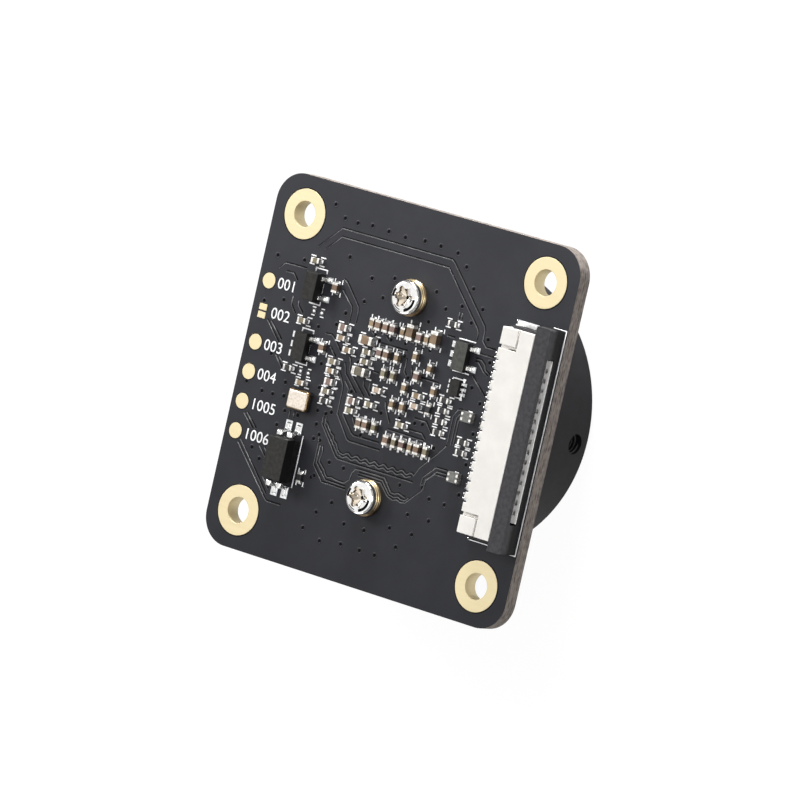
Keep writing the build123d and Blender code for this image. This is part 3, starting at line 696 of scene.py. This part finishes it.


# Groove floors are dark, partly as the real darker mask over bare fibre and partly as painted shade; groove edges
# are pale as painted highlight. The floors are shifted towards +X and +Y and the edges the other way, as light from
# the upper right would shade and light a groove's walls.
groove_floor_section = [(-0.08, -0.004), (-0.07, 0.003), (0.07, 0.003), (0.08, -0.004)]
groove_edge_section = [(-0.06, -0.004), (-0.03, 0.012), (0.03, 0.012), (0.06, -0.004)]
groove_shade_shift = (0.025, 0.05)
groove_highlight_shift = (-0.035, -0.08)
grooves = [
    [(-12.5, 12.3), (-10.04, 14.71), (3.66, 14.71), (4.02, 14.5), (9.15, 9.38), (9.33, 8.95), (9.33, 7.98),
     (9.88, 7.43), (11.0, 7.45)],
    [(-11.6, 12.2), (-9.9, 13.88), (3.48, 13.88), (8.41, 8.95), (8.6, 8.6), (8.6, 7.85)],
    [(-16.6, 9.2), (-15.95, 9.9), (-13.3, 9.92)],
    [(-15.65, 9.1), (-14.7, 9.13), (-14.1, 8.5)],
    [(-8.5, 9.95), (-8.05, 9.75), (-6.12, 7.75), (-6.0, 7.3), (-6.0, 6.1)],
    [(-8.4, 8.9), (-6.9, 7.58), (-6.8, 7.2), (-6.8, 5.95)],
    [(-14.17, 7.0), (-14.15, 6.1), (-13.5, 5.3)],
    [(-13.35, 6.7), (-13.3, 6.2), (-12.6, 5.55)],
    [(-16.65, 4.0), (-14.7, 2.1)],
    [(-16.15, 4.0), (-14.45, 2.45)],
    [(-9.3, 4.3), (-8.5, 4.35), (-8.1, 4.1), (-7.0, 3.0)],
    [(-8.4, 3.2), (-7.5, 2.35)],
    [(-14.7, 0.9), (-13.6, -0.25)],
    [(-14.2, 0.85), (-13.4, 0.1)],
    [(-5.8, 2.8), (-5.5, 2.3), (-5.5, 1.7), (-5.0, 1.1), (-3.1, -0.6)],
    [(-6.2, 2.1), (-6.0, 1.6), (-5.85, 1.1), (-4.1, -0.5)],
    [(-6.6, 1.1), (-5.87, -0.05), (-5.77, -0.7), (-5.77, -2.9), (-3.95, -5.05), (-3.6, -5.17), (0.2, -5.17)],
    [(-5.7, 0.4), (-5.1, -0.2), (-5.05, -0.7), (-5.05, -2.85), (-3.65, -4.3), (-3.3, -4.52), (-0.1, -4.5)],
    [(-3.87, -2.75), (-3.35, -3.65)],
    [(-3.45, 1.15), (-3.45, 0.5), (-2.45, -0.4)],
    [(-2.7, 0.95), (-2.65, 0.3), (-2.1, -0.3)],
    [(-2.7, 4.92), (0.8, 4.92)],
    [(-3.85, 5.8), (-3.45, 5.55)],
    [(-2.1, 5.8), (-1.5, 5.3)],
    [(1.0, 4.2), (1.0, 2.95), (1.45, 2.45)],
    [(1.8, 3.5), (2.0, 2.8)],
    [(3.0, 2.8), (5.3, 2.78)],
    [(-2.6, 2.05), (-2.0, 2.05)],
    [(-0.4, -0.4), (-0.2, -1.0), (0.65, -2.35)],
    [(3.4, -1.15), (4.9, -1.15), (5.95, -2.3)],
    [(3.1, -2.38), (4.7, -2.38), (5.2, -2.85)],
    [(0.55, -2.95), (5.1, -3.0)],
    [(-7.3, -3.4), (-7.3, -4.3), (-4.85, -7.0), (-4.5, -7.18), (4.9, -7.18)],
    [(-6.95, -3.5), (-6.9, -4.35), (-4.6, -6.77)] + wave(-4.4, 4.6, -6.78, 0.2, 1.14, -3.45),
    [(-6.77, -4.0), (-6.0, -4.9), (-5.6, -5.1), (-5.5, -5.45), (-5.0, -5.8), (-4.75, -6.3), (-4.35, -6.55)]
    + wave(-4.0, 4.7, -6.46, 0.26, 1.14, -3.45)
    + [(4.9, -6.5), (5.4, -5.6), (5.85, -5.1), (7.1, -3.8), (7.9, -2.8)],
    [(7.9, -2.6), (7.9, 0.2), (8.3, 0.9), (8.8, 1.0)],
    [(8.35, -2.6), (8.35, 0.1), (8.6, 0.5), (9.0, 0.6)],
    [(8.65, -2.6), (8.65, -0.1), (9.0, 0.2)],
    [(-7.3, -5.6), (-7.2, -6.2), (-7.2, -8.4), (-5.8, -9.8), (-2.8, -9.84)],
    [(-6.9, -6.4), (-6.9, -8.1), (-5.4, -9.5), (-2.9, -9.56)],
    [(-6.6, -6.4), (-6.45, -6.9), (-6.6, -7.7), (-6.6, -7.95), (-5.75, -8.65), (-5.6, -8.95), (-5.3, -9.2),
     (-4.8, -9.1), (-4.1, -9.22), (-3.1, -9.25), (-2.55, -8.75), (-2.4, -8.0), (-2.1, -7.6), (-1.6, -7.55),
     (1.55, -7.55), (2.65, -8.75), (3.1, -8.77), (3.55, -8.6), (4.1, -8.75), (4.45, -8.8)],
    [(-1.7, -7.86), (1.35, -7.86), (2.5, -9.0), (3.1, -9.1), (3.55, -8.95), (4.0, -9.1), (4.5, -9.1), (4.9, -8.75)],
    [(-1.7, -8.13), (1.2, -8.15), (2.35, -9.2), (3.05, -9.4), (3.55, -9.25), (4.0, -9.4), (4.6, -9.3),
     (5.2, -8.7), (6.3, -7.6), (6.4, -6.6), (7.3, -5.78)],
    [(8.65, -5.12), (7.3, -5.12), (6.0, -6.4), (5.9, -7.2)],
    [(8.65, -5.47), (7.5, -5.47), (6.3, -6.6)],
    [(8.65, -5.78), (7.3, -5.78)],
    [(9.0, 6.67), (11.04, 6.66)],
    [(9.0, 6.14), (9.7, 6.14), (10.2, 5.78), (10.4, 5.3), (11.0, 5.0)],
    [(9.0, 5.8), (9.4, 5.85), (10.2, 5.1), (10.8, 4.8)],
    [(9.05, 4.44), (11.0, 2.83)],
    [(5.1, 7.5), (6.0, 7.47)],
    [(5.94, 10.05), (5.94, 9.3)],
    [(6.28, 10.05), (6.28, 9.3)],
    [(-16.95, -5.5), (-15.5, -6.8)],
    [(-16.55, -5.4), (-15.1, -6.7)],
    [(-14.2, -8.2), (-13.05, -9.3)],
    [(-13.55, -8.2), (-13.0, -8.75)],
    [(-13.1, -10.9), (-12.0, -12.1)],
    [(-16.65, -8.1), (-12.1, -12.65)],
    [(-16.9, -8.45), (-12.0, -13.2), (-11.75, -13.25), (-10.1, -13.25)],
    [(-11.45, -4.0), (-11.45, -4.7)],
    [(-10.9, -4.0), (-10.9, -4.7)],
]
via_places = [
    (-11.54, 16.73), (-10.04, 15.68), (-8.4, 15.55), (-6.6, 15.7), (-4.52, 15.6), (-2.43, 15.48), (0, 15.67),
    (1.97, 15.62), (4.13, 15.42), (5.51, 14.35), (6.9, 12.5), (-17.13, 10.35), (-13.79, 10.6), (-8.43, 12.15),
    (-5.27, 10.75), (-2.58, 11.35), (2.7, 11.22), (6.03, 10.57), (8.5, 10.82), (4.21, 9.87), (7.53, 9.27),
    (9.91, 8.17), (2.52, 8.22), (-3.47, 9.2), (-5.57, 8.34), (-7.45, 6.73), (-15.2, 6.27), (-17.55, 5.65),
    (-8.25, 5.4), (-10.33, 4.7), (-3.32, 5.5), (-1.38, 5.5), (0.43, 5.55), (2.54, 5.64), (3.45, 5.59),
    (-2.71, 5.1), (0.64, 4.36), (1.61, 2.39), (-4.64, 2.48), (9.29, 3.27), (10.64, 2.0), (10.7, 6.08),
    (-9.0, 1.28), (-15.25, 0.85), (-4.68, -0.48), (-0.6, -1.66), (1.68, -1.64), (3.6, -1.65), (4.55, -1.55),
    (10.65, -1.02), (-12.78, -1.5), (-17.5, -2.5), (-12.61, -2.83), (-15.38, -2.97), (-14.0, -2.98),
    (-8.19, -3.23), (-7.1, -3.3), (-6.5, -3.0), (-8.6, -1.03), (-12.1, -4.22), (-10.43, -4.25), (-7.96, -4.56),
    (-2.46, -4.31), (10.64, -4.04), (6.46, -3.43), (-7.36, -5.47), (-7.9, -6.0), (-7.1, -6.0), (-12.69, -5.77),
    (-5.42, -7.78), (-3.55, -7.92), (3.51, -7.86), (10.62, -7.05), (7.27, -8.31), (9.19, -8.4), (6.2, -7.43),
    (-15.07, -8.62), (-13.88, -9.5), (-6.88, -9.48), (-7.17, -9.7), (5.2, -10.38), (7.8, -10.37),
    (-4.05, -11.5), (3.44, -12.15), (6.19, -12.13), (-5.63, -12.86), (-2.03, -13.15), (0.5, -13.15),
    (4.65, -13.78), (-6.79, -14.71), (-4.46, -15.46), (-1.88, -15.13), (0.5, -15.15), (2.4, -15.15),
]


def shifted(lines, shift):
    """The same lines, moved by a small step."""
    return [[(x + shift[0], y + shift[1]) for x, y in line] for line in lines]


def raised_ring(inner, outer, height, sides):
    """A low ring on the board: its inner edge drops to a thin film that covers the middle."""
    bpy.ops.mesh.primitive_circle_add(vertices=sides, radius=outer * MM, fill_type="NGON")
    ring = bpy.context.object
    edit_whole()
    middle = (outer + inner) / 2
    for radius, lift in ((middle, height), (inner, 0.002 - height)):
        bpy.ops.mesh.inset(thickness=(outer - middle) * MM)
        bpy.ops.transform.translate(value=(0.0, 0.0, lift * MM))
    switch("OBJECT")
    return ring


def rounded_ring(radius, thickness, flatness=1.0, sides=48):
    """A rounded ring about Z at the origin, in millimetres, lower than it is thick if asked."""
    bpy.ops.mesh.primitive_torus_add(
        major_radius=radius * MM, minor_radius=thickness / 2 * MM, major_segments=sides, minor_segments=10,
    )
    ring = bpy.context.object
    edit_whole()
    bpy.ops.transform.resize(value=(1.0, 1.0, flatness), center_override=(0.0, 0.0, 0.0))
    switch("OBJECT")
    bpy.ops.object.shade_smooth()
    return ring


def arc_of(ring, from_angle, to_angle):
    """Keep one stretch of a ring between two angles in degrees, and close its ends."""
    only(ring)
    switch("EDIT")
    bpy.ops.mesh.select_mode(type="FACE")
    bpy.ops.mesh.select_all(action="DESELECT")
    switch("OBJECT")
    for face in ring.data.polygons:
        angle = math.degrees(math.atan2(face.center.y, face.center.x))
        face.select = (angle - from_angle) % 360.0 > to_angle - from_angle
    switch("EDIT")
    bpy.ops.mesh.delete(type="FACE")
    edit_whole()
    bpy.ops.mesh.fill_holes(sides=0)
    switch("OBJECT")
    return ring


via_inner, via_outer, via_rise = 0.16, 0.32, 0.024
via_middle, via_middle_slope = 0.19, 0.04


def build_vias():
    """The small plated holes, filled with mask: a faint ring around a middle painted dark as the shade in the hole.
    """
    vias = copies_of(raised_ring(via_inner, via_outer, via_rise, 20), [place(x, y) for x, y in via_places])
    joined(vias, "via_rings", "board_mask")
    bpy.ops.mesh.primitive_circle_add(vertices=16, radius=via_middle * MM, fill_type="NGON")
    pattern = bpy.context.object
    edit_whole()
    bpy.ops.mesh.inset(thickness=via_middle_slope * MM)
    bpy.ops.transform.translate(value=(0.0, 0.0, 0.003 * MM))
    switch("OBJECT")
    middles = copies_of(pattern, [place(x, y, 0.004) for x, y in via_places])
    joined(middles, "via_middles", "hole_dark")


def build_pad_openings():
    """The mask's raised edge around each gold rim and round pad, near-black as partly the real mask edge and partly
    painted shade.
    """
    edges = []
    for name, section in (("mounting_hole_rims", 0.12), ("test_pads_round", 0.08)):
        lowest, highest = solids_of(name)[0]
        ring = rounded_ring((highest.x - lowest.x + section) / 2, section, 0.3, 64)
        edges += copies_of(ring, [place(spot.x, spot.y) for spot in centres_of(name)[0]])
    joined(edges, "pad_openings", "mask_sunk")


# White print

print_section = [(-0.065, -0.004), (-0.06, 0.02), (0.06, 0.02), (0.065, -0.004)]
outline_prints = [
    [(-12.15, 9.89), (-12.15, 10.24), (-10.76, 10.24), (-10.76, 9.89)],
    [(-12.15, 6.74), (-10.76, 6.74), (-10.76, 7.09)],
    [(-10.87, 8.9), (-10.87, 7.8)],
    [(-12.15, 3.83), (-12.15, 4.18), (-10.76, 4.18), (-10.76, 3.83)],
    [(-12.15, 0.71), (-10.76, 0.71), (-10.76, 1.06)],
    [(-10.87, 2.8), (-10.87, 1.9)],
    [(6.55, 7.55), (8.6, 7.55)],
    [(6.55, 4.41), (8.6, 4.41)],
    [(6.87, 3.73), (8.28, 3.73)],
    [(7.5, 1.94), (8.3, 1.94)],
    [(-9.22, -6.05), (-9.22, -11.3)],
    [(-13.17, -9.6), (-13.17, -9.7)],
    [(-13.17, -10.52), (-13.17, -10.62)],
    [(9.55, 1.0), (10.05, 1.0)],
    [(9.55, -5.0), (10.05, -5.0)],
    [(17.1, 11.05), (18.65, 11.05), (18.65, -11.09), (17.9, -11.09)],
]
label_height = 1.15
label_rows = [(7.7, "001"), (4.67, "002"), (1.48, "003"), (-1.49, "004"), (-4.51, "1005"), (-7.53, "1006")]
label_left = -16.4
digit_share = 0.73


def build_labels():
    """Plain numbers beside the test pads."""
    labels = []
    for row, number in label_rows:
        bpy.ops.object.text_add()
        text = bpy.context.object.data
        text.body = number
        text.align_y = "CENTER"
        text.size = label_height / digit_share * MM
        text.extrude = 0.01 * MM
        text.resolution_u = 4
        text.space_character = 1.02
        only(bpy.context.object)
        bpy.ops.object.convert(target="MESH")
        label = bpy.context.object
        label.data.transform(place(label_left, row, 0.01))
        labels.append(label)
    joined(labels, "label_numbers", "silkscreen")


capacitor_kinds = ("tan", "brown", "maroon", "olive", "peach")


def chips():
    """Each chip's middle, its turn, half length, half width and height, from its body and its two ends."""
    found = []
    pairs = [(f"capacitors_{kind}", f"capacitors_{kind}_ends") for kind in (*capacitor_kinds, "large")]
    for body, ends in (*pairs, ("resistor_body", "resistor_ends")):
        end_boxes = solids_of(ends)
        for middle in centres_of(body)[0]:
            first, second = sorted(end_boxes, key=lambda box: ((box[0] + box[1]) / 2 - middle).length)[:2]
            across, up, height = [max(first[1][i], second[1][i]) - min(first[0][i], second[0][i]) for i in range(3)]
            turn = 0.0 if across > up else 90.0
            found.append((middle.x, middle.y, turn, max(across, up) / 2, min(across, up) / 2, height))
    return found


dash_section = (0.12, 0.02)
dash_long, dash_short = 0.62, 0.44
dash_gap_beyond, dash_gap_beside = 0.13, 0.14


def build_chip_prints(found):
    """Four dashes beside each chip, two on each side, longer where a fitted chip lies along X."""
    bpy.ops.mesh.primitive_cube_add(size=MM, scale=(1.0, *dash_section))
    pattern = bpy.context.object
    bpy.ops.object.transform_apply(scale=True)
    edit_whole()
    bpy.ops.mesh.bevel(offset=0.02 * MM, segments=1, affect="EDGES")
    switch("OBJECT")
    spots = []
    for x, y, turn, half, width, height in found:
        length = dash_long if turn == 0.0 and height else dash_short
        for end in (-1, 1):
            for side in (-1, 1):
                step = moved(end * (half + dash_gap_beyond), side * (width + dash_gap_beside))
                spots.append(place(x, y, 0.008, turn) @ step @ Matrix.Diagonal((length, 1.0, 1.0, 1.0)))
    joined(copies_of(pattern, spots), "chip_prints", "silkscreen")


# Solder

def solder_wedge(heel=1.0, toe=0.75):
    """A solder fillet one millimetre long, wide and high: a hollow slope from the wall at X 0 down to X 1."""
    bpy.ops.mesh.primitive_cube_add(size=1.0, location=(0.5, 0.0, 0.5))
    wedge = bpy.context.object
    bpy.ops.object.transform_apply(location=True)
    for x in (0.25, 0.5, 0.75):
        edit_whole()
        bpy.ops.mesh.bisect(plane_co=(x, 0.0, 0.0), plane_no=(1.0, 0.0, 0.0))
    for x in (0.0, 0.25, 0.5, 0.75, 1.0):
        pick(wedge, lambda point: abs(point.x - x) < 0.01)
        bpy.ops.transform.resize(value=(1.0, heel + (toe - heel) * x, 1.0), center_override=(0.0, 0.0, 0.0))
        pick(wedge, lambda point: abs(point.x - x) < 0.01 and point.z > 0.5)
        bpy.ops.transform.translate(value=(0.0, 0.0, 0.88 * (1.0 - x) ** 2.2 - 0.88))
    edit_whole()
    bpy.ops.mesh.bevel(offset=0.06, segments=1, affect="EDGES", clamp_overlap=True)
    bpy.ops.mesh.normals_make_consistent(inside=False)
    shaded()
    return wedge


fillet_reach, fillet_overlap = 0.18, 0.01
fillet_width_share, fillet_height_share = 1.9, 0.5


def build_chip_solder(found):
    """A fillet at both ends of each chip."""
    spots = []
    for x, y, turn, half, width, height in found:
        for end in (0.0, 180.0):
            size = sized(fillet_reach, fillet_width_share * width, fillet_height_share * height)
            spots.append(place(x, y, 0.0, turn + end) @ moved(half - fillet_overlap, 0.0) @ size)
    joined(copies_of(solder_wedge(), spots), "chip_solder", "solder_grey")


dome_height = 0.16


def build_bare_pad_domes():
    """The low solder domes on the pads that carry no chip: the upper part of a ball, cut flat below."""
    bpy.ops.mesh.primitive_uv_sphere_add(segments=16, ring_count=8, radius=0.5)
    pattern = bpy.context.object
    edit_whole()
    bpy.ops.mesh.bisect(plane_co=(0.0, 0.0, 0.1), plane_no=(0.0, 0.0, 1.0), use_fill=True, clear_inner=True)
    edit_whole()
    bpy.ops.transform.translate(value=(0.0, 0.0, -0.1))
    shaded()
    spots = []
    for lowest, highest in solids_of("bare_chip_pads"):
        centre, size = (lowest + highest) / 2, highest - lowest
        spot = place(centre.x, centre.y, highest.z - board_top / MM)
        spots.append(spot @ sized(size.x * 0.66, size.y * 0.6, dome_height))
    joined(copies_of(pattern, spots), "bare_pad_solder", "solder_white")


flared_toe, plain_toe = (0.46, 0.09), (0.2, 0.16)
tail_fillet = (0.3, 0.24, 0.14)
widest_contact_pad = 0.8


def build_lead_solder():
    """Solder at the toes of the leads, and two small fillets beside each contact tail."""
    spots = {"bright": [], "flared": [], "dull": []}
    for name in ("five_pin_ic_a", "five_pin_ic_b", "five_pin_ic_c", "six_pin_ic", "optocoupler"):
        middle = centres_of(name + "_body")[0][0]
        for lowest, highest in solids_of(name + "_leads"):
            lead = (lowest + highest) / 2
            size = highest - lowest
            sideways = size.x > size.y
            width = size.y if sideways else size.x
            kind = "bright" if name != "six_pin_ic" else "flared" if lead.x > middle.x else "dull"
            reach, rise = flared_toe if kind == "flared" else plain_toe
            if sideways:
                toe, turn = (highest.x, 0.0) if lead.x > middle.x else (lowest.x, 180.0)
                spot = place(toe, lead.y, 0.0, turn)
            else:
                toe, turn = (highest.y, 90.0) if lead.y > middle.y else (lowest.y, -90.0)
                spot = place(lead.x, toe, 0.0, turn)
            spots[kind].append(spot @ moved(-fillet_overlap, 0.0) @ sized(reach, width + 0.1, rise))
    for lowest, highest in solids_of("ffc_solder_pads"):
        if highest.y - lowest.y > widest_contact_pad:
            continue
        for side in (-1, 1):
            spot = place(lowest.x, (lowest.y + highest.y) / 2 + side * 0.22, 0.0, 180.0)
            spots["bright"].append(spot @ moved(-0.1, 0.0) @ sized(*tail_fillet))
    joined(copies_of(solder_wedge(), spots["bright"]), "lead_solder", "solder_bright")
    joined(copies_of(solder_wedge(0.4, 1.25), spots["flared"]), "flared_solder", "solder_white")
    joined(copies_of(solder_wedge(), spots["dull"]), "dull_solder", "solder_dull")


bend_size, bend_rounding = (0.7, 0.68, 0.54), 0.2
upper_bend_gap, lower_bend_gap, bend_drop = 0.27, 0.32, 0.06


def build_lead_bends():
    """The rounded shoulders where the optocoupler's leads bend down."""
    bpy.ops.mesh.primitive_cube_add(size=MM, scale=bend_size)
    pattern = bpy.context.object
    bpy.ops.object.transform_apply(scale=True)
    edit_whole()
    bpy.ops.mesh.bevel(offset=bend_rounding * MM, segments=4, affect="EDGES", clamp_overlap=True)
    shaded()
    body_low, body_high = solids_of("optocoupler_body")[0]
    spots = []
    for lowest, highest in solids_of("optocoupler_leads"):
        y = body_high.y + upper_bend_gap if highest.y > body_high.y else body_low.y - lower_bend_gap
        spots.append(place((lowest.x + highest.x) / 2, y, highest.z - bend_drop - board_top / MM))
    joined(copies_of(pattern, spots), "lead_bends", "tin_metal")


# Mount screws and threads

lock_ring_sizes = [(1.71, 0.26, 0.43), (1.66, 0.24, 0.67)]
# Dark arcs of painted reflection on each screw face: from angle, to angle, thickness
screw_reflection_arcs = [(-78.0, -2.0, 0.3), (-132.0, -98.0, 0.16), (148.0, 188.0, 0.26)]
reflection_arc_radius = 1.27


def build_screw_details():
    """Two rounded lock rings under each screw head, and dark arcs of painted reflection on the line between its face
    and its brim.
    """
    centres, top = centres_of("mount_screws")
    rings = []
    for radius, thickness, height in lock_ring_sizes:
        rings += copies_of(rounded_ring(radius, thickness), [place(spot.x, spot.y, height) for spot in centres])
    joined(rings, "lock_rings", "washer_gold")
    lines = []
    for start, end, thickness in screw_reflection_arcs:
        arc = arc_of(rounded_ring(reflection_arc_radius, thickness, 0.15), start, end)
        lines += copies_of(arc, [place(spot.x, spot.y, top - 0.01) for spot in centres])
    joined(lines, "screw_dark_reflections", "hole_dark")


def thread_ridge(radius, depth, pitch, turns, steps):
    """A helical ridge about Z, pointing inwards from a wall, from Z 0 upwards, in millimetres."""
    bpy.ops.mesh.primitive_circle_add(
        vertices=3, radius=depth * 0.7 * MM, fill_type="NOTHING",
        location=(radius * MM, 0.0, 0.0), rotation=(math.radians(90), 0.0, 0.0),
    )
    ridge = bpy.context.object
    bpy.ops.object.transform_apply(location=True, rotation=True)
    edit_whole()
    bpy.ops.transform.rotate(value=math.radians(90), orient_axis="Y", center_override=(radius * MM, 0.0, 0.0))
    switch("OBJECT")
    coil = ridge.modifiers.new("coil", "SCREW")
    coil.angle = math.radians(360)
    coil.screw_offset = pitch * MM
    coil.iterations = turns
    coil.steps = steps
    coil.render_steps = steps
    coil.use_smooth_shade = False
    only(ridge)
    bpy.ops.object.modifier_apply(modifier="coil")
    edit_whole()
    bpy.ops.mesh.remove_doubles(threshold=0.000001)
    bpy.ops.mesh.fill_holes(sides=0)
    bpy.ops.mesh.normals_make_consistent(inside=False)
    switch("OBJECT")
    return ridge


lens_thread_radius, lens_thread_depth, lens_thread_pitch, lens_thread_start = 12.3, 0.4, 0.794, 0.45
side_thread_radius, side_thread_depth, side_thread_pitch = 1.025, 0.16, 0.4
side_thread_start = (12.4, -0.5, 2.3)


def build_threads():
    """The lens thread in the mount's bore, and the thread of the tapped hole in its side."""
    lens_thread = thread_ridge(lens_thread_radius, lens_thread_depth, lens_thread_pitch, 8, 96)
    lens_thread.data.transform(moved(0.0, 0.0, lens_thread_start))
    finished(lens_thread, "lens_thread", "mount_black")
    side_thread = thread_ridge(side_thread_radius, side_thread_depth, side_thread_pitch, 4, 32)
    turn = Matrix.Rotation(math.radians(90), 4, "Y")
    side_thread.data.transform(moved(*side_thread_start) @ turn)
    finished(side_thread, "side_thread", "thread_edge")


recess_low_radius, recess_high_radius, recess_depth, recess_facet_lift = 0.16, 1.3, 0.3, 0.22
recess_floor_below, recess_middle_below = 0.52, 0.68


def build_recess_floors():
    """The shallow faceted cone at the bottom of each six-lobe recess, with a middle painted dark as shade."""
    centres, top = centres_of("mount_screws")
    bpy.ops.mesh.primitive_cone_add(
        vertices=12, radius1=recess_low_radius * MM, radius2=recess_high_radius * MM, depth=recess_depth * MM,
        end_fill_type="NOTHING",
    )
    cone = bpy.context.object
    pick(cone, lambda point: point.z > 0.0 and round(math.degrees(math.atan2(point.y, point.x)) / 30.0) % 2 == 1)
    bpy.ops.transform.translate(value=(0.0, 0.0, recess_facet_lift * MM))
    edit_whole()
    bpy.ops.mesh.normals_make_consistent(inside=True)
    switch("OBJECT")
    floors = copies_of(cone, [place(spot.x, spot.y, top - recess_floor_below) for spot in centres])
    joined(floors, "recess_floors", "screw_nickel")
    spots = [place(spot.x, spot.y, top - recess_middle_below) for spot in centres]
    middles = copies_of(rounded_ring(0.1, 0.2, 0.3), spots)
    joined(middles, "recess_middles", "hole_dark")


# The module

build_camera()
build_world()
build_floor()
for lamp in lamps:
    area_light(*lamp)
bpy.context.scene.view_settings.view_transform = "Standard"

found_chips = chips()
bare_places = [(-10.78, 6.08, 0.0, 0.42, 0.25, 0.0), (-10.78, 0.02, 0.0, 0.42, 0.25, 0.0)]
swept(shifted(grooves, groove_shade_shift), groove_floor_section, "groove_floors", "mask_sunk")
swept(shifted(grooves, groove_highlight_shift), groove_edge_section, "groove_edges", "mask_pale")
build_vias()
build_pad_openings()
swept(outline_prints, print_section, "outline_prints", "silkscreen")
build_labels()
build_chip_prints(found_chips + bare_places)
build_chip_solder(found_chips)
build_bare_pad_domes()
build_lead_solder()
build_lead_bends()
build_recess_floors()
build_screw_details()
build_threads()

for width, segments, names in (
    (0.03, 2, ["resistor_body", "mounting_hole_rims", "test_pads_round", "test_pads_square"]),
    (0.03, 2, ["six_pin_ic_body", "six_pin_ic_leads"]),
    (0.04, 2, ["resistor_ends"] + [f"capacitors_{kind}" for kind in capacitor_kinds]),
    (0.04, 2, [f"five_pin_ic_{which}_{part}" for which in "abc" for part in ("body", "leads")]),
    (0.05, 2, ["capacitors_large", "ffc_housing", "ffc_hold_downs"]),
    (0.05, 3, ["screw_washers"] + [f"capacitors_{kind}_ends" for kind in capacitor_kinds]),
    (0.06, 2, ["optocoupler_body"]),
    (0.06, 3, ["optocoupler_leads"]),
    (0.07, 3, ["capacitors_large_ends"]),
    (0.08, 3, ["ffc_slider"]),
):
    for name in names:
        soften(name, width, segments)
